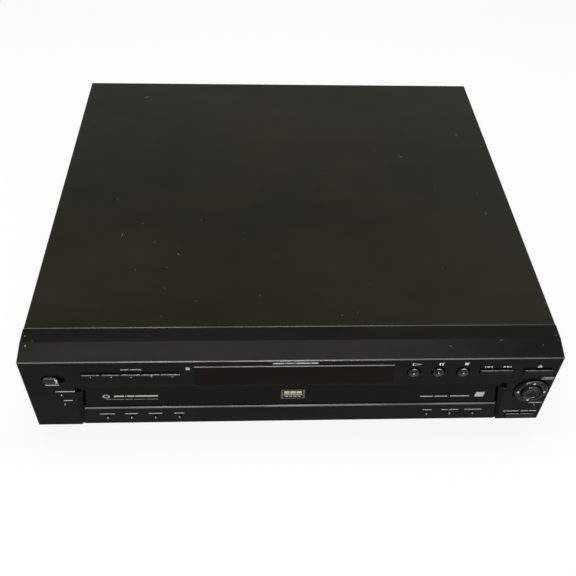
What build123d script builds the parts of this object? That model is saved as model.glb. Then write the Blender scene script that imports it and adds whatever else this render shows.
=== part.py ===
"""Five-disc carousel changer: a steel case behind a moulded front panel, with a sliding tray,
a geared carousel, a tilting disc reader and a key behind every opening in the front.

Millimetres. X runs to the right seen from the front, Y to the back and Z up from the surface it stands on.
"""
from build123d import *
from math import acos, cos, pi, radians, sin, tan
import os

# Outer case
PANEL_WIDTH = 430.0
COVER_WIDTH = 429.4
FRONT_Y = -200.6
CASE_DEPTH = 399.4
PANEL_DEPTH = 30.6
PANEL_BOTTOM_Z = 13.0
FRONT_EDGE_Z = 96.4
KINK_Y = 17.0
KINK_Z = 101.3
COVER_TOP_Z = 102.0
SHEET = 1.0
SEAM_EDGE = 0.5
COVER_BEND = 1.5
COVER_LIP = 10.0
FRONT_EDGE_RADIUS = 1.2
PANEL_END_EDGE = 0.8
PANEL_WALL = 2.5
SEAM_Y = FRONT_Y + PANEL_DEPTH
BACK_Y = FRONT_Y + CASE_DEPTH
COVER_HALF = COVER_WIDTH / 2
INSIDE_HALF = COVER_HALF - SHEET

# Base pan, feet and screws
PAN_BOTTOM_Z = PANEL_BOTTOM_Z + SHEET
PAN_TOP_Z = PAN_BOTTOM_Z + SHEET
PAN_SIDE_TOP_Z = 60.0
PAN_FRONT_TOP_Z = 27.0
PAN_VENTS = 6
PAN_VENT_X = 80.0
PAN_VENT_PITCH = 14.0
PAN_VENT_WIDTH = 3.6
PAN_VENT_Y = (125.0, 165.0)
FOOT_RADIUS = 15.0
FOOT_TAPER = 10.0
FOOT_AT_X = 170.0
FOOT_AT_Y = (-145.0, 150.0)
SCREW_RADIUS = 4.0
BACK_SCREW_RADIUS = 3.2
SCREW_HEIGHT = 1.6
SCREW_Z = 30.0
SCREW_AT_Y = (SEAM_Y + 45.0, BACK_Y - 55.0)

# How many flat sides stand for a round: small or hidden ones have few
JACK_SIDES = 10
FEW_SIDES = 12
KEY_SIDES = 16
MORE_SIDES = 24
ROUND_SIDES = 32

# Tray opening of the front panel: the tray front and the strip below it widen towards the ground
OPENING_HALF_WIDTH = 176.3
OPENING_FOOT_HALF_WIDTH = 178.4
OPENING_TOP_Z = 64.3
OPENING_RETURN = 3.5
RETURN_THICKNESS = 1.5
FACET_TOP_Z = 57.0
STRIP_TOP_Z = 35.0
STRIP_RECESS = 0.8
STRIP_EDGE = 1.0
TRAY_FRONT_RECESS = 2.2
TRAY_FRONT_THICKNESS = 4.0
TRAY_FRONT_TOP_Z = 63.6
TRAY_FRONT_FOOT_Z = STRIP_TOP_Z + 0.7
TRAY_FRONT_HALF_TOP = 168.5
TRAY_FRONT_SPREAD = 0.154
TRAY_FRONT_GAP = 1.3
TRAY_FRONT_EDGE = 0.8
BROW_HALF_WIDTH = 172.6
BROW_BOTTOM_Z = 58.0

# Tray and carousel
DECK_BOTTOM_Z = 39.5
DECK_TOP_Z = 42.0
TRAY_TOP_Z = 55.0
TRAY_HALF_WIDTH = 169.0
TRAY_BACK_Y = 150.0
TRAY_WALL = 2.5
READER_GAP_HALF = 50.0
READER_GAP_FRONT_Y = 2.0
CAROUSEL_Y = -19.0
CAROUSEL_RADIUS = 165.0
CAROUSEL_BOTTOM_Z = 46.8
CAROUSEL_TOP_Z = 54.0
TRAY_BOWL_RADIUS = 167.0
DISC_COUNT = 5
DISC_CIRCLE_RADIUS = 103.0
WELL_RADIUS = 60.5
WELL_FLOOR_Z = 50.5
SMALL_DISC_RADIUS = 40.5
SMALL_DISC_FLOOR_Z = 49.3
WELL_SIDES = 44
RIM_SIDES = 64
SLOT_HALF_WIDTH = 15.0
SLOT_LENGTH = 66.0
HUB_HOLE_RADIUS = 18.0
HUB_POST_RADIUS = 8.0
HUB_WALL = 5.0
HUB_POST_TOP_Z = 49.3
CAP_RADIUS = 20.0
CAP_HEIGHT = 2.0
RUNNING_GAP = 0.05

# Gears: addendum and dedendum are shares of the module
MODULE = 3.0
RING_MODULE = 4.0
RING_TEETH = 78
RING_WALL = 3.0
TABLE_TEETH = 10
RACK_GEAR_TEETH = 16
PULLEY_GEAR_TEETH = 10
RACK_TEETH = 29
RACK_BACK = 2.5
RACK_LEAD = 12.0
RACK_END = 2.0
BACKLASH = 0.5
ADDENDUM = 0.85
DEDENDUM = 1.15
PRESSURE_ANGLE = radians(20)

# Drives: the table motor rides on the tray, the loading motor hangs in the base
TABLE_GEAR_ANGLE = 225.0
TABLE_GEAR_Z = (42.8, 46.2)
TABLE_SHAFT_RADIUS = 1.5
TABLE_MOTOR_RADIUS = 10.5
TABLE_MOTOR_Z = (48.4, 60.0)
GEAR_SHELF = (78.0, 24.0, 1.6)
GEAR_SHELF_Z = 47.6
GEAR_SHELF_OFFSET = 14.0
RACK_PITCH_X = -148.0
RACK_TOP_Z = DECK_BOTTOM_Z
RACK_BOTTOM_Z = 36.0
DRIVE_Y = -150.0
SHAFT_RADIUS = 2.0
PULLEY_RADIUS = 10.0
PULLEY_Z = 36.3
MOTOR_PULLEY_RADIUS = 3.5
MOTOR_PULLEY_X = -40.0
LOADING_MOTOR_RADIUS = 11.0
LOADING_MOTOR_TOP_Z = 35.0
LOADING_SHAFT_TOP_Z = 36.2
MOTOR_TABS = (32.0, 16.0, 1.5)
BELT_GAP = 0.4
BELT_THICKNESS = 1.0
BELT_Z = (37.2, 38.4)

# Mechanism base and clamp bridge
BASE_PLATE_Z = (30.0, 32.5)
BASE_FRONT_Y = -168.0
BASE_OUTER_X = 178.0
BASE_INNER_X = 170.6
BASE_TOP_Z = 50.0
BASE_WALL = 2.5
BASE_SLOT_X = (66.0, 116.0)
BASE_SLOT_WIDTH = 42.0
BASE_SLOT_Y = (-90.0, 120.0)
BASE_WINDOW_HALF = 48.0
RAIL_REACH = 3.2
RAIL_Z = (40.2, 43.8)
RAIL_GAP = 0.6
RAIL_START = 12.0
BRIDGE_Z = 62.0
BRIDGE_THICKNESS = 2.5
BRIDGE_HALF_DEPTH = 18.0
BRIDGE_RIB = (2.0, 7.0)
BRIDGE_LEG = 6.0
CLAMP_HOLE_RADIUS = 9.6
CLAMPER_NECK_RADIUS = 9.0
CLAMPER_FLANGE_RADIUS = 12.0
CLAMPER_DISC_RADIUS = 14.0
CLAMPER_DISC_Z = (57.0, 59.5)

# Disc reader, drawn raised and then tilted down about its pivot
READER_Y = CAROUSEL_Y + DISC_CIRCLE_RADIUS
PIVOT_Y = -8.0
PIVOT_Z = 32.0
TILT_DOWN = 11.0
SPINDLE_SEAT_Z = 52.7
SPINDLE_RADIUS = 6.0
SPINDLE_SEAT = (13.5, 2.7)
SPINDLE_CONE = (7.2, 2.3)
FRAME_Z = (37.5, 41.0)
FRAME_HALF_WIDTH = 46.0
FRAME_WINDOW_HALF = 37.0
FRAME_FRONT_Y = 5.0
FRAME_BACK_Y = 103.0
FRAME_BAR = 5.0
FRAME_ARM = 4.0
SPINDLE_MOTOR_RADIUS = 13.0
SPINDLE_MOTOR_Z = 36.2
SLED_LENS_RADIUS = 23.0
SLED_WINDOW_BACK_Y = 72.0
SLED_HALF = (36.0, 9.0)
LENS_BLOCK_HALF = (9.0, 7.0)
LENS_BLOCK_TOP_Z = 49.0
LENS_RADIUS = 4.0
ROD_X = 33.0
ROD_RADIUS = 1.5
ROD_Z = 39.2

# Front keys: where each stands, X and Z
POWER_KEY = (-191.0, 75.5)
DISC_KEYS_LEFT = -168.3
DISC_KEY_PITCH = 15.56
DISC_KEYS_Z = 81.4
TRANSPORT_KEYS = {"play_key": 95.5, "pause_key": 115.5, "stop_key": 135.5}
TRANSPORT_Z = 80.7
ROCKER = (162.8, 80.6)
OPEN_CLOSE_KEY = (197.3, 80.0)
CURSOR_CENTRE = (198.0, 54.6)
EXCHANGE_KEYS = {"exchange_key": 191.0, "disc_skip_key": 203.6}
EXCHANGE_Z = 19.1
SMALL_KEYS = {"surround_key": (-187.6, 54.8), "night_key": (-187.2, 42.2), "display_key": (206.7, 32.8)}
STRIP_KEYS = {
    "shuffle_key": -155.5,
    "repeat_key": -135.5,
    "one_all_key": -115.5,
    "load_key": -95.5,
    "title_key": 115.5,
    "menu_key": 135.5,
    "return_key": 155.5,
}
STRIP_KEYS_Z = 21.7

# Key caps, width and height, and the openings round them
KEY_GAP = 0.5
POWER_OPENING = (18.6, 9.8)
POWER_CAP = (12.9, 6.8)
POWER_CAP_OFFSET = (-1.6, -0.7)
DISC_CAP = (DISC_KEY_PITCH - 0.7, 2.0)
DISC_OPENING = (DISC_COUNT * DISC_KEY_PITCH + 0.8, 3.2)
TRANSPORT_KEY_RADIUS = 4.9
TRANSPORT_KEY_GAP = 0.9
ROCKER_CAP = (26.4, 5.2)
ROCKER_OPENING = (27.6, 6.4)
ROCKER_FLANGE_HALF = (14.2, 4.0)
ROCKER_STEM_X = 9.0
ROCKER_SET_BACK = 0.6
OPEN_CLOSE_CAP = (23.2, 5.4)
OPEN_CLOSE_OPENING = (24.3, 6.5)
EXCHANGE_CAP = (11.9, 4.5)
EXCHANGE_OPENING = (25.6, 5.6)
SMALL_KEY_RADIUS = 1.6
SMALL_KEY_SIDES = 8
SMALL_FLANGE_HALF = 2.8
CURSOR_RADIUS = 14.3
CURSOR_PROUD = 2.4
CURSOR_EDGE = 1.2
CURSOR_FRAME = (26.0, 19.0)
CURSOR_FRAME_BACK = (2.1, 3.1)
ENTER_RADIUS = 7.7
ENTER_GAP = 0.6
FLANGE_Y = FRONT_Y + PANEL_WALL + 0.4
FLANGE_THICKNESS = 1.2
STEM_HALF = 2.0
THIN_STEM_HALF = 1.5
STEM_END_Y = -193.0
KEY_TRAVEL = 0.6
SWITCH_FRONT_Y = STEM_END_Y + KEY_TRAVEL + 0.3
SWITCH_HALF = 3.0
BOARD_Y = (-188.4, -186.8)
BOARD_POSTS = ((-205, 88), (-84, 70), (84, 70), (209, 88), (-205, 22), (181, 30))
BOARD_POST_HALF = 2.0

# Display window and the tube behind it
WINDOW_HALF_WIDTH = 79.5
WINDOW_Z = (66.0, 90.3)
WINDOW_PROUD = 0.5
WINDOW_EDGE = 0.5
WINDOW_THICKNESS = 2.2
TUBE_HALF_WIDTH = 72.0
TUBE_Z = (70.0, 87.0)
TUBE_FRONT_Y = FRONT_Y + 4.6

# Back: openings for the sockets, X and Z of their middles, and vents
PHONO_X = (20.0, 34.0, 48.0)
PHONO_Z = (40.0, 56.0)
SOCKETS_X = (72.0, 92.0, 110.0)
SOCKETS_Z = 48.0
BLOCK_MARGIN_X = 8.0
BLOCK_MARGIN_Z = 9.0
BLOCK_DEPTH = 12.0
BLOCK_LEG = 7.0
JACK_RADIUS = 4.2
JACK_HOLE_RADIUS = 1.7
JACK_REACH = 5.2
VIDEO_SOCKET_RADII = (6.0, 4.6)
OPTICAL_HALVES = (5.0, 3.0)
SOCKET_RIM = 1.5
SOCKET_DEPTH = 4.0
INLET_X = -176.0
INLET_Z = 48.0
INLET_HALF = (13.0, 9.0)
INLET_DEPTH = 16.0
INLET_RECESS = 12.0
INLET_LOBE_RADIUS = 5.0
INLET_PIN_X = 4.0
INLET_PIN_RADIUS = 1.2
BACK_VENTS = 8
BACK_VENT_X = -140.0
BACK_VENT_PITCH = 9.0
BACK_VENT_WIDTH = 3.0
BACK_VENT_Z = (62.0, 88.0)

# Boards along the back
REAR_BOARD_Z = (22.0, 23.6)
REAR_BOARD_Y = (156.0, 194.0)
MAIN_BOARD_X = (4.0, 205.0)
POWER_BOARD_X = (-205.0, -8.0)
STANDOFF_HALF = 3.0
STANDOFF_Y = 175.0


def block(x0, x1, y0, y1, z0, z1):
    """A box from its six limits."""
    return Pos((x0 + x1) / 2, (y0 + y1) / 2, (z0 + z1) / 2) * Box(x1 - x0, y1 - y0, z1 - z0)


def around(x, half_x, y, half_y, z0, z1):
    """A box from its middle and half sizes in X and Y, and its limits in Z."""
    return block(x - half_x, x + half_x, y - half_y, y + half_y, z0, z1)


def across(x, half_x, y0, y1, z, half_z):
    """A box from its middle and half sizes in X and Z, and its limits in Y."""
    return block(x - half_x, x + half_x, y0, y1, z - half_z, z + half_z)


def post(x, y, z0, z1, radius):
    """An upright cylinder."""
    return Pos(x, y, (z0 + z1) / 2) * Cylinder(radius, z1 - z0)


def stud(x, y, z0, z1, radius, sides):
    """An upright post with flat sides, for small rounds that repeat or lie hidden."""
    return extrude(Pos(x, y, z0) * RegularPolygon(radius, sides), amount=z1 - z0)


def shaft_hole(x, y, z0, z1, radius):
    """A few-sided hole that clears a round or few-sided shaft of this radius all round."""
    sketch = RegularPolygon(radius + RUNNING_GAP, FEW_SIDES, major_radius=False)
    return extrude(Pos(x, y, z0) * sketch, amount=z1 - z0)


def pointed(shape, inset, drop):
    """The shape with its top edge sloped: this far inwards and this far down."""
    top = shape.faces().sort_by(Axis.Z)[-1]
    return chamfer(top.edges(), inset, drop, reference=top)


def pill(width, height, sides):
    """A rectangle with round ends that have this many sides in all."""
    end = RegularPolygon(height / 2, sides)
    reach = (width - height) / 2
    return Pos(-reach, 0) * end + Pos(reach, 0) * end + Rectangle(2 * reach, height)


def front_shape(sketch, x, z, y0, y1):
    """A sketch drawn as seen from the front, centred on (x, z) and extruded from y0 back to y1."""
    plane = Plane(origin=(x, y1, z), x_dir=(1, 0, 0), z_dir=(0, -1, 0))
    return extrude(plane * sketch, amount=y1 - y0)


def front_stud(x, z, y0, y1, radius, sides):
    """A few-sided post that points from front to back."""
    return front_shape(RegularPolygon(radius, sides), x, z, y0, y1)


def side_shape(points, half_width):
    """A profile of (y, z) points, extruded to both sides of the middle."""
    face = make_face(Plane.YZ * Polyline(*points, close=True))
    return extrude(face, amount=half_width, both=True)


def flat_shape(sketch, x, y, z0, z1):
    """A sketch drawn as seen from above, extruded from z0 up to z1."""
    return extrude(Pos(x, y, z0) * sketch, amount=z1 - z0)


def mirrored(shape):
    """The same piece on the other side of the middle."""
    return mirror(shape, about=Plane.YZ)


# Gear teeth


def pitch_radius(teeth, module=MODULE):
    return teeth * module / 2


def root_radius(teeth, module=MODULE):
    return pitch_radius(teeth, module) - DEDENDUM * module


def involute(radius, base):
    """The roll angle's involute at this radius, 0 inside the base circle."""
    if radius <= base:
        return 0.0
    angle = acos(base / radius)
    return tan(angle) - angle


def gear_outline(teeth, first_tooth, module=MODULE):
    """A gear's outline, with the middle of one tooth at the angle first_tooth, in degrees."""
    pitch = pitch_radius(teeth, module)
    base = pitch * cos(PRESSURE_ANGLE)
    half_tooth = (pi * module / 2 - BACKLASH) / 2 / pitch
    root, tip = root_radius(teeth, module), pitch + ADDENDUM * module
    at_root, at_tip = (
        half_tooth + involute(pitch, base) - involute(radius, base) for radius in (root, tip)
    )
    corners = ((root, -at_root), (tip, -at_tip), (tip, at_tip), (root, at_root))
    points = []
    for tooth in range(teeth):
        middle = radians(first_tooth) + 2 * pi * tooth / teeth
        points += [(r * cos(middle + a), r * sin(middle + a)) for r, a in corners]
    return make_face(Polyline(*points, close=True))


def rack_outline(front_y, gap_y):
    """The rack's outline: teeth along Y that point to +X, with a gap at gap_y."""
    step = pi * MODULE
    slope = tan(PRESSURE_ANGLE)
    half_tooth = (step / 2 - BACKLASH) / 2
    root_x, tip_x = RACK_PITCH_X - DEDENDUM * MODULE, RACK_PITCH_X + ADDENDUM * MODULE
    back_x = root_x - RACK_BACK
    half_root = half_tooth + DEDENDUM * MODULE * slope
    half_tip = half_tooth - ADDENDUM * MODULE * slope
    points = [(back_x, front_y), (root_x, front_y)]
    for tooth in range(RACK_TEETH):
        middle = gap_y + (tooth - 0.5) * step
        points += [(root_x, middle - half_root), (tip_x, middle - half_tip)]
        points += [(tip_x, middle + half_tip), (root_x, middle + half_root)]
    points += [(back_x, points[-1][1] + RACK_END)]
    return make_face(Polyline(*points, close=True))


# Places that several pieces share

TABLE_GEAR_DISTANCE = pitch_radius(RING_TEETH + TABLE_TEETH, RING_MODULE)
TABLE_GEAR_X = TABLE_GEAR_DISTANCE * cos(radians(TABLE_GEAR_ANGLE))
TABLE_GEAR_Y = CAROUSEL_Y + TABLE_GEAR_DISTANCE * sin(radians(TABLE_GEAR_ANGLE))
RACK_GEAR_X = RACK_PITCH_X + pitch_radius(RACK_GEAR_TEETH)
PULLEY_X = RACK_GEAR_X + pitch_radius(RACK_GEAR_TEETH) + pitch_radius(PULLEY_GEAR_TEETH)
GEAR_FLOOR_Z = BASE_PLATE_Z[1] + 0.5
GEAR_TOP_Z = DECK_BOTTOM_Z - 0.5
STATIONS = [90 + 360 * n / DISC_COUNT for n in range(DISC_COUNT)]
TRAY_FRONT_Y = FRONT_Y + TRAY_FRONT_RECESS
TRAY_BODY_Y = TRAY_FRONT_Y + TRAY_FRONT_THICKNESS
PANEL_BACK_Y = FRONT_Y + PANEL_WALL
SOCKET_FACE_Y = BACK_Y - SHEET


def lowered(shape):
    """Tilts a piece of the disc reader from where it plays down to where it rests."""
    return shape.rotate(Axis((0, PIVOT_Y, PIVOT_Z), (1, 0, 0)), -TILT_DOWN)


# Case


def make_top_cover():
    """Bent steel: top, two sides and a short lip down the back."""
    outer = block(-COVER_HALF, COVER_HALF, SEAM_Y, BACK_Y, PAN_BOTTOM_Z, COVER_TOP_Z)
    outer = fillet(outer.edges().filter_by(Axis.Y).group_by(Axis.Z)[-1], COVER_BEND)
    seam_edges = outer.faces().sort_by(Axis.Y)[0].edges().sort_by(Axis.Z)[1:]
    outer = chamfer(seam_edges, SEAM_EDGE)
    inside = block(-INSIDE_HALF, INSIDE_HALF, SEAM_Y - 1, BACK_Y - SHEET, 0, COVER_TOP_Z - SHEET)
    open_back = block(-INSIDE_HALF, INSIDE_HALF, BACK_Y - 5, BACK_Y + 1, 0, COVER_TOP_Z - COVER_LIP)
    return outer - inside - open_back


def make_cover_screws():
    """Pan heads: two on each side and one through the back lip."""
    heads = []
    for y in SCREW_AT_Y:
        face = Plane.YZ * Pos(y, SCREW_Z) * RegularPolygon(SCREW_RADIUS, JACK_SIDES)
        right = extrude(Pos(COVER_HALF, 0, 0) * face, amount=SCREW_HEIGHT)
        heads += [right, mirrored(right)]
    middle_z = COVER_TOP_Z - COVER_LIP + BACK_SCREW_RADIUS + 0.8
    heads.append(front_stud(0, middle_z, BACK_Y, BACK_Y + SCREW_HEIGHT, BACK_SCREW_RADIUS, JACK_SIDES))
    return heads


def make_base_pan():
    """Folded steel pan: sides, a low front and two groups of vent slots."""
    back = BACK_Y - 2 * SHEET
    inner = INSIDE_HALF - SHEET
    pan = block(-INSIDE_HALF, INSIDE_HALF, SEAM_Y, back, PAN_BOTTOM_Z, PAN_SIDE_TOP_Z)
    pan -= block(-inner, inner, SEAM_Y - 1, back + 1, PAN_TOP_Z, PAN_SIDE_TOP_Z + 1)
    pan += block(-inner, inner, SEAM_Y, SEAM_Y + SHEET, PAN_TOP_Z, PAN_FRONT_TOP_Z)
    middle_y = sum(PAN_VENT_Y) / 2
    half_length = PAN_VENT_Y[1] - middle_y
    for n in range(PAN_VENTS):
        x = PAN_VENT_X + PAN_VENT_PITCH * n
        vent = around(x, PAN_VENT_WIDTH / 2, middle_y, half_length, PAN_BOTTOM_Z - 1, PAN_TOP_Z + 1)
        pan = pan - vent - mirrored(vent)
    return pan


def make_feet():
    """Four moulded feet, tapered to the ground."""
    foot = extrude(RegularPolygon(FOOT_RADIUS, KEY_SIDES), amount=-PAN_BOTTOM_Z, taper=FOOT_TAPER)
    return [Pos(x, y, PAN_BOTTOM_Z) * foot for x in (-FOOT_AT_X, FOOT_AT_X) for y in FOOT_AT_Y]


def make_rear_panel():
    """Steel back with an opening for each group of sockets and a row of vents."""
    y0, y1 = BACK_Y - 2 * SHEET, BACK_Y - SHEET
    panel = block(-INSIDE_HALF, INSIDE_HALF, y0, y1, PAN_BOTTOM_Z, COVER_TOP_Z - SHEET)
    openings = (
        (PHONO_X[0] - BLOCK_MARGIN_X, PHONO_X[-1] + BLOCK_MARGIN_X, PHONO_Z[0], PHONO_Z[-1]),
        (SOCKETS_X[0] - BLOCK_MARGIN_Z, SOCKETS_X[-1] + BLOCK_MARGIN_X, SOCKETS_Z, SOCKETS_Z),
        (INLET_X - INLET_HALF[0], INLET_X + INLET_HALF[0], INLET_Z, INLET_Z),
    )
    for x0, x1, low, high in openings:
        panel -= block(x0, x1, y0 - 1, y1 + 1, low - BLOCK_MARGIN_Z, high + BLOCK_MARGIN_Z)
    for n in range(BACK_VENTS):
        x = BACK_VENT_X + BACK_VENT_PITCH * n
        panel -= block(x - BACK_VENT_WIDTH / 2, x + BACK_VENT_WIDTH / 2, y0 - 1, y1 + 1, *BACK_VENT_Z)
    return panel


# Front panel


def opening(sketch, x, z):
    """A hole of this outline right through the panel's front wall."""
    return front_shape(sketch, x, z, FRONT_Y - 1, PANEL_BACK_Y + 1)


def square_opening(x, z, width, height):
    return opening(Rectangle(width, height), x, z)


def panel_section(inset):
    """The panel's side view: upright front, sloped band and nearly flat top."""
    back = SEAM_Y + (1 if inset else 0)
    rise = (KINK_Z - FRONT_EDGE_Z) / KINK_Y
    return [
        (FRONT_Y + inset, PANEL_BOTTOM_Z + inset),
        (FRONT_Y + inset, FRONT_EDGE_Z - inset + rise * inset),
        (FRONT_Y + KINK_Y, KINK_Z - inset),
        (back, COVER_TOP_Z - inset),
        (back, PANEL_BOTTOM_Z + inset),
    ]


def tray_edge_x(z):
    """Half the width of the tray front, and of the strip below it, at this height."""
    return TRAY_FRONT_HALF_TOP + TRAY_FRONT_SPREAD * (TRAY_FRONT_TOP_Z - z)


def opening_edge_x(z):
    """Half the width of the clear opening at this height, up to the top of the facets."""
    return tray_edge_x(z) + TRAY_FRONT_GAP


def both_ways(half):
    """A closed outline from the (x, z) points of its right half."""
    return make_face(Polyline(*half, *[(-x, z) for x, z in reversed(half)], close=True))


def front_outline(sketch, y0, y1):
    """A sketch in (x, z) extruded from y0 back to y1."""
    return front_shape(sketch, 0, 0, y0, y1)


def facet_cut():
    """What slopes the panel's face down into the opening, on the right."""
    faces = []
    for z, outer in ((FACET_TOP_Z, OPENING_HALF_WIDTH), (PANEL_BOTTOM_Z - 1, OPENING_FOOT_HALF_WIDTH)):
        inner = opening_edge_x(z) - 1
        outline = Polyline((outer, FRONT_Y), (inner, FRONT_Y), (inner, TRAY_FRONT_Y), close=True)
        faces.append(make_face(Pos(0, 0, z) * outline))
    return loft(faces, ruled=True)


def opening_return():
    """The wall that runs back beside the tray front, on the right, and the web behind the strip's end."""
    low, high = PANEL_BOTTOM_Z, FACET_TOP_Z
    outline = Polyline(
        (opening_edge_x(low), low),
        (OPENING_FOOT_HALF_WIDTH + RETURN_THICKNESS, low),
        (OPENING_HALF_WIDTH + RETURN_THICKNESS, high),
        (opening_edge_x(high), high),
        close=True,
    )
    wall = front_outline(make_face(outline), PANEL_BACK_Y, PANEL_BACK_Y + OPENING_RETURN)
    side_x = OPENING_FOOT_HALF_WIDTH
    return wall + block(side_x - 9, side_x, PANEL_BACK_Y, PANEL_BACK_Y + 1, low, STRIP_TOP_Z)


def panel_shell():
    """The panel's outer skin, open at the back, with its front edge rounded and its ends eased."""
    half = PANEL_WIDTH / 2
    shell = side_shape(panel_section(0), half)
    lengthwise = shell.edges().filter_by(Axis.X)
    shell = chamfer(lengthwise.sort_by(Axis.Y)[-2:].sort_by(Axis.Z)[-1], SEAM_EDGE)
    front_top = shell.edges().filter_by(Axis.X).group_by(Axis.Y)[0].sort_by(Axis.Z)[-1]
    shell = fillet(front_top, FRONT_EDGE_RADIUS)
    for end in (0, -1):
        outline = shell.faces().sort_by(Axis.X)[end].edges()
        shown = [e for e in outline if e.center().Y < SEAM_Y - 1 and e.center().Z > PANEL_BOTTOM_Z + 1]
        shell = chamfer(shown, PANEL_END_EDGE)
    return shell - side_shape(panel_section(PANEL_WALL), half - PANEL_WALL)


def lower_strip():
    """The strip under the tray, set back, with its top edge sloped."""
    outline = both_ways([(tray_edge_x(z), z) for z in (STRIP_TOP_Z, PANEL_BOTTOM_Z)])
    strip = front_outline(outline, FRONT_Y + STRIP_RECESS, PANEL_BACK_Y)
    top_edge = strip.edges().filter_by(Axis.X).group_by(Axis.Y)[0].sort_by(Axis.Z)[-1]
    return chamfer(top_edge, STRIP_EDGE)


def key_openings():
    """One hole for each key or row of keys."""
    disc_middle = DISC_KEYS_LEFT + DISC_COUNT * DISC_KEY_PITCH / 2
    exchange_middle = sum(EXCHANGE_KEYS.values()) / 2
    holes = [
        opening(pill(*POWER_OPENING, KEY_SIDES), *POWER_KEY),
        square_opening(disc_middle, DISC_KEYS_Z, *DISC_OPENING),
        square_opening(*ROCKER, *ROCKER_OPENING),
        square_opening(*OPEN_CLOSE_KEY, *OPEN_CLOSE_OPENING),
        square_opening(exchange_middle, EXCHANGE_Z, *EXCHANGE_OPENING),
        opening(RegularPolygon(CURSOR_RADIUS + KEY_GAP, ROUND_SIDES), *CURSOR_CENTRE),
    ]
    transport = RegularPolygon(TRANSPORT_KEY_RADIUS + TRANSPORT_KEY_GAP, KEY_SIDES)
    holes += [opening(transport, x, TRANSPORT_Z) for x in TRANSPORT_KEYS.values()]
    small = RegularPolygon(SMALL_KEY_RADIUS + KEY_GAP, SMALL_KEY_SIDES)
    places = [*SMALL_KEYS.values(), *[(x, STRIP_KEYS_Z) for x in STRIP_KEYS.values()]]
    return holes + [opening(small, x, z) for x, z in places]


def make_front_panel():
    """One moulding, open at the back: two pillars, the key band above the tray and the strip below."""
    low = PANEL_BOTTOM_Z - 1
    clear = [
        (OPENING_HALF_WIDTH, OPENING_TOP_Z),
        (OPENING_HALF_WIDTH, FACET_TOP_Z),
        (opening_edge_x(FACET_TOP_Z), FACET_TOP_Z),
        (opening_edge_x(low), low),
    ]
    panel = panel_shell() - front_outline(both_ways(clear), FRONT_Y - 1, PANEL_BACK_Y)
    side_x = OPENING_FOOT_HALF_WIDTH
    panel += lower_strip()
    panel += block(-side_x, side_x, PANEL_BACK_Y, PANEL_BACK_Y + 1, STRIP_TOP_Z - PANEL_WALL, STRIP_TOP_Z)
    cut, added = facet_cut(), opening_return()
    panel = panel - cut - mirrored(cut) + added + mirrored(added)
    panel -= square_opening(0, sum(WINDOW_Z) / 2, 2 * WINDOW_HALF_WIDTH, WINDOW_Z[1] - WINDOW_Z[0])
    for hole in key_openings():
        panel -= hole
    for x, z in BOARD_POSTS:
        panel += across(x, BOARD_POST_HALF, PANEL_BACK_Y, BOARD_Y[0], z, BOARD_POST_HALF)
    return panel


def make_display_window():
    """Smoked plate that fills the opening above the tray and stands a little proud, with sloped edges."""
    sketch = Rectangle(2 * WINDOW_HALF_WIDTH - 0.1, WINDOW_Z[1] - WINDOW_Z[0] - 0.1)
    front_y = FRONT_Y - WINDOW_PROUD
    window = front_shape(sketch, 0, sum(WINDOW_Z) / 2, front_y, FRONT_Y + WINDOW_THICKNESS)
    return chamfer(window.faces().sort_by(Axis.Y)[0].edges(), WINDOW_EDGE)


def make_display_tube():
    """Flat glass tube on the front board, with its pump stem at one end."""
    half = TUBE_HALF_WIDTH
    tube = block(-half, half, TUBE_FRONT_Y, BOARD_Y[0], *TUBE_Z)
    return tube + block(-half - 3, -half, TUBE_FRONT_Y + 2.4, BOARD_Y[0], 77, 80)


# Keys: a cap in the opening, a flange behind the wall and a stem that ends at its switch


def make_key(cap, place, flange_half, stem_half=STEM_HALF):
    """A cap made into a key. A cap is its sketch, how far it stands out and how far its edge is eased."""
    sketch, proud, edge = cap
    x, z = place
    key = front_shape(sketch, x, z, FRONT_Y - proud, FLANGE_Y + 1)
    if edge:
        key = chamfer(key.faces().sort_by(Axis.Y)[0].edges(), edge)
    key += across(x, flange_half[0], FLANGE_Y, FLANGE_Y + FLANGE_THICKNESS, z, flange_half[1])
    return key + across(x, stem_half, FLANGE_Y + 1, STEM_END_Y, z, stem_half)


def make_small_key(x, z):
    cap = RegularPolygon(SMALL_KEY_RADIUS, SMALL_KEY_SIDES)
    return make_key((cap, 1.0, 0), (x, z), (SMALL_FLANGE_HALF, SMALL_FLANGE_HALF), THIN_STEM_HALF)


def make_power_key():
    """The cap stands low and to the left in its opening, and the flange closes the rest."""
    cap = Pos(*POWER_CAP_OFFSET) * pill(*POWER_CAP, KEY_SIDES)
    return make_key((cap, 3.0, 0.8), POWER_KEY, (10, 6))


def disc_key_x(n):
    return DISC_KEYS_LEFT + (n + 0.5) * DISC_KEY_PITCH


def make_disc_key(n):
    return make_key((Rectangle(*DISC_CAP), 1.5, 0), (disc_key_x(n), DISC_KEYS_Z), (DISC_CAP[0] / 2, 3))


def make_transport_key(x):
    cap = RegularPolygon(TRANSPORT_KEY_RADIUS, KEY_SIDES)
    return make_key((cap, 2.2, 1.2), (x, TRANSPORT_Z), (6.6, 6.2))


def make_skip_rocker():
    """One bar for two keys, set back a little so that it can tip, with a stem at each end."""
    x, z = ROCKER
    flange_y = FLANGE_Y + ROCKER_SET_BACK
    half_x, half_z = ROCKER_FLANGE_HALF
    rocker = front_shape(Rectangle(*ROCKER_CAP), x, z, FRONT_Y - 1.6, flange_y + 1)
    rocker += across(x, half_x, flange_y, flange_y + FLANGE_THICKNESS, z, half_z)
    for dx in (-ROCKER_STEM_X, ROCKER_STEM_X):
        rocker += across(x + dx, THIN_STEM_HALF, flange_y + 1, STEM_END_Y, z, THIN_STEM_HALF)
    return rocker


def make_open_close_key():
    return make_key((Rectangle(*OPEN_CLOSE_CAP), 1.6, 0), OPEN_CLOSE_KEY, (12.6, 4))


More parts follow.
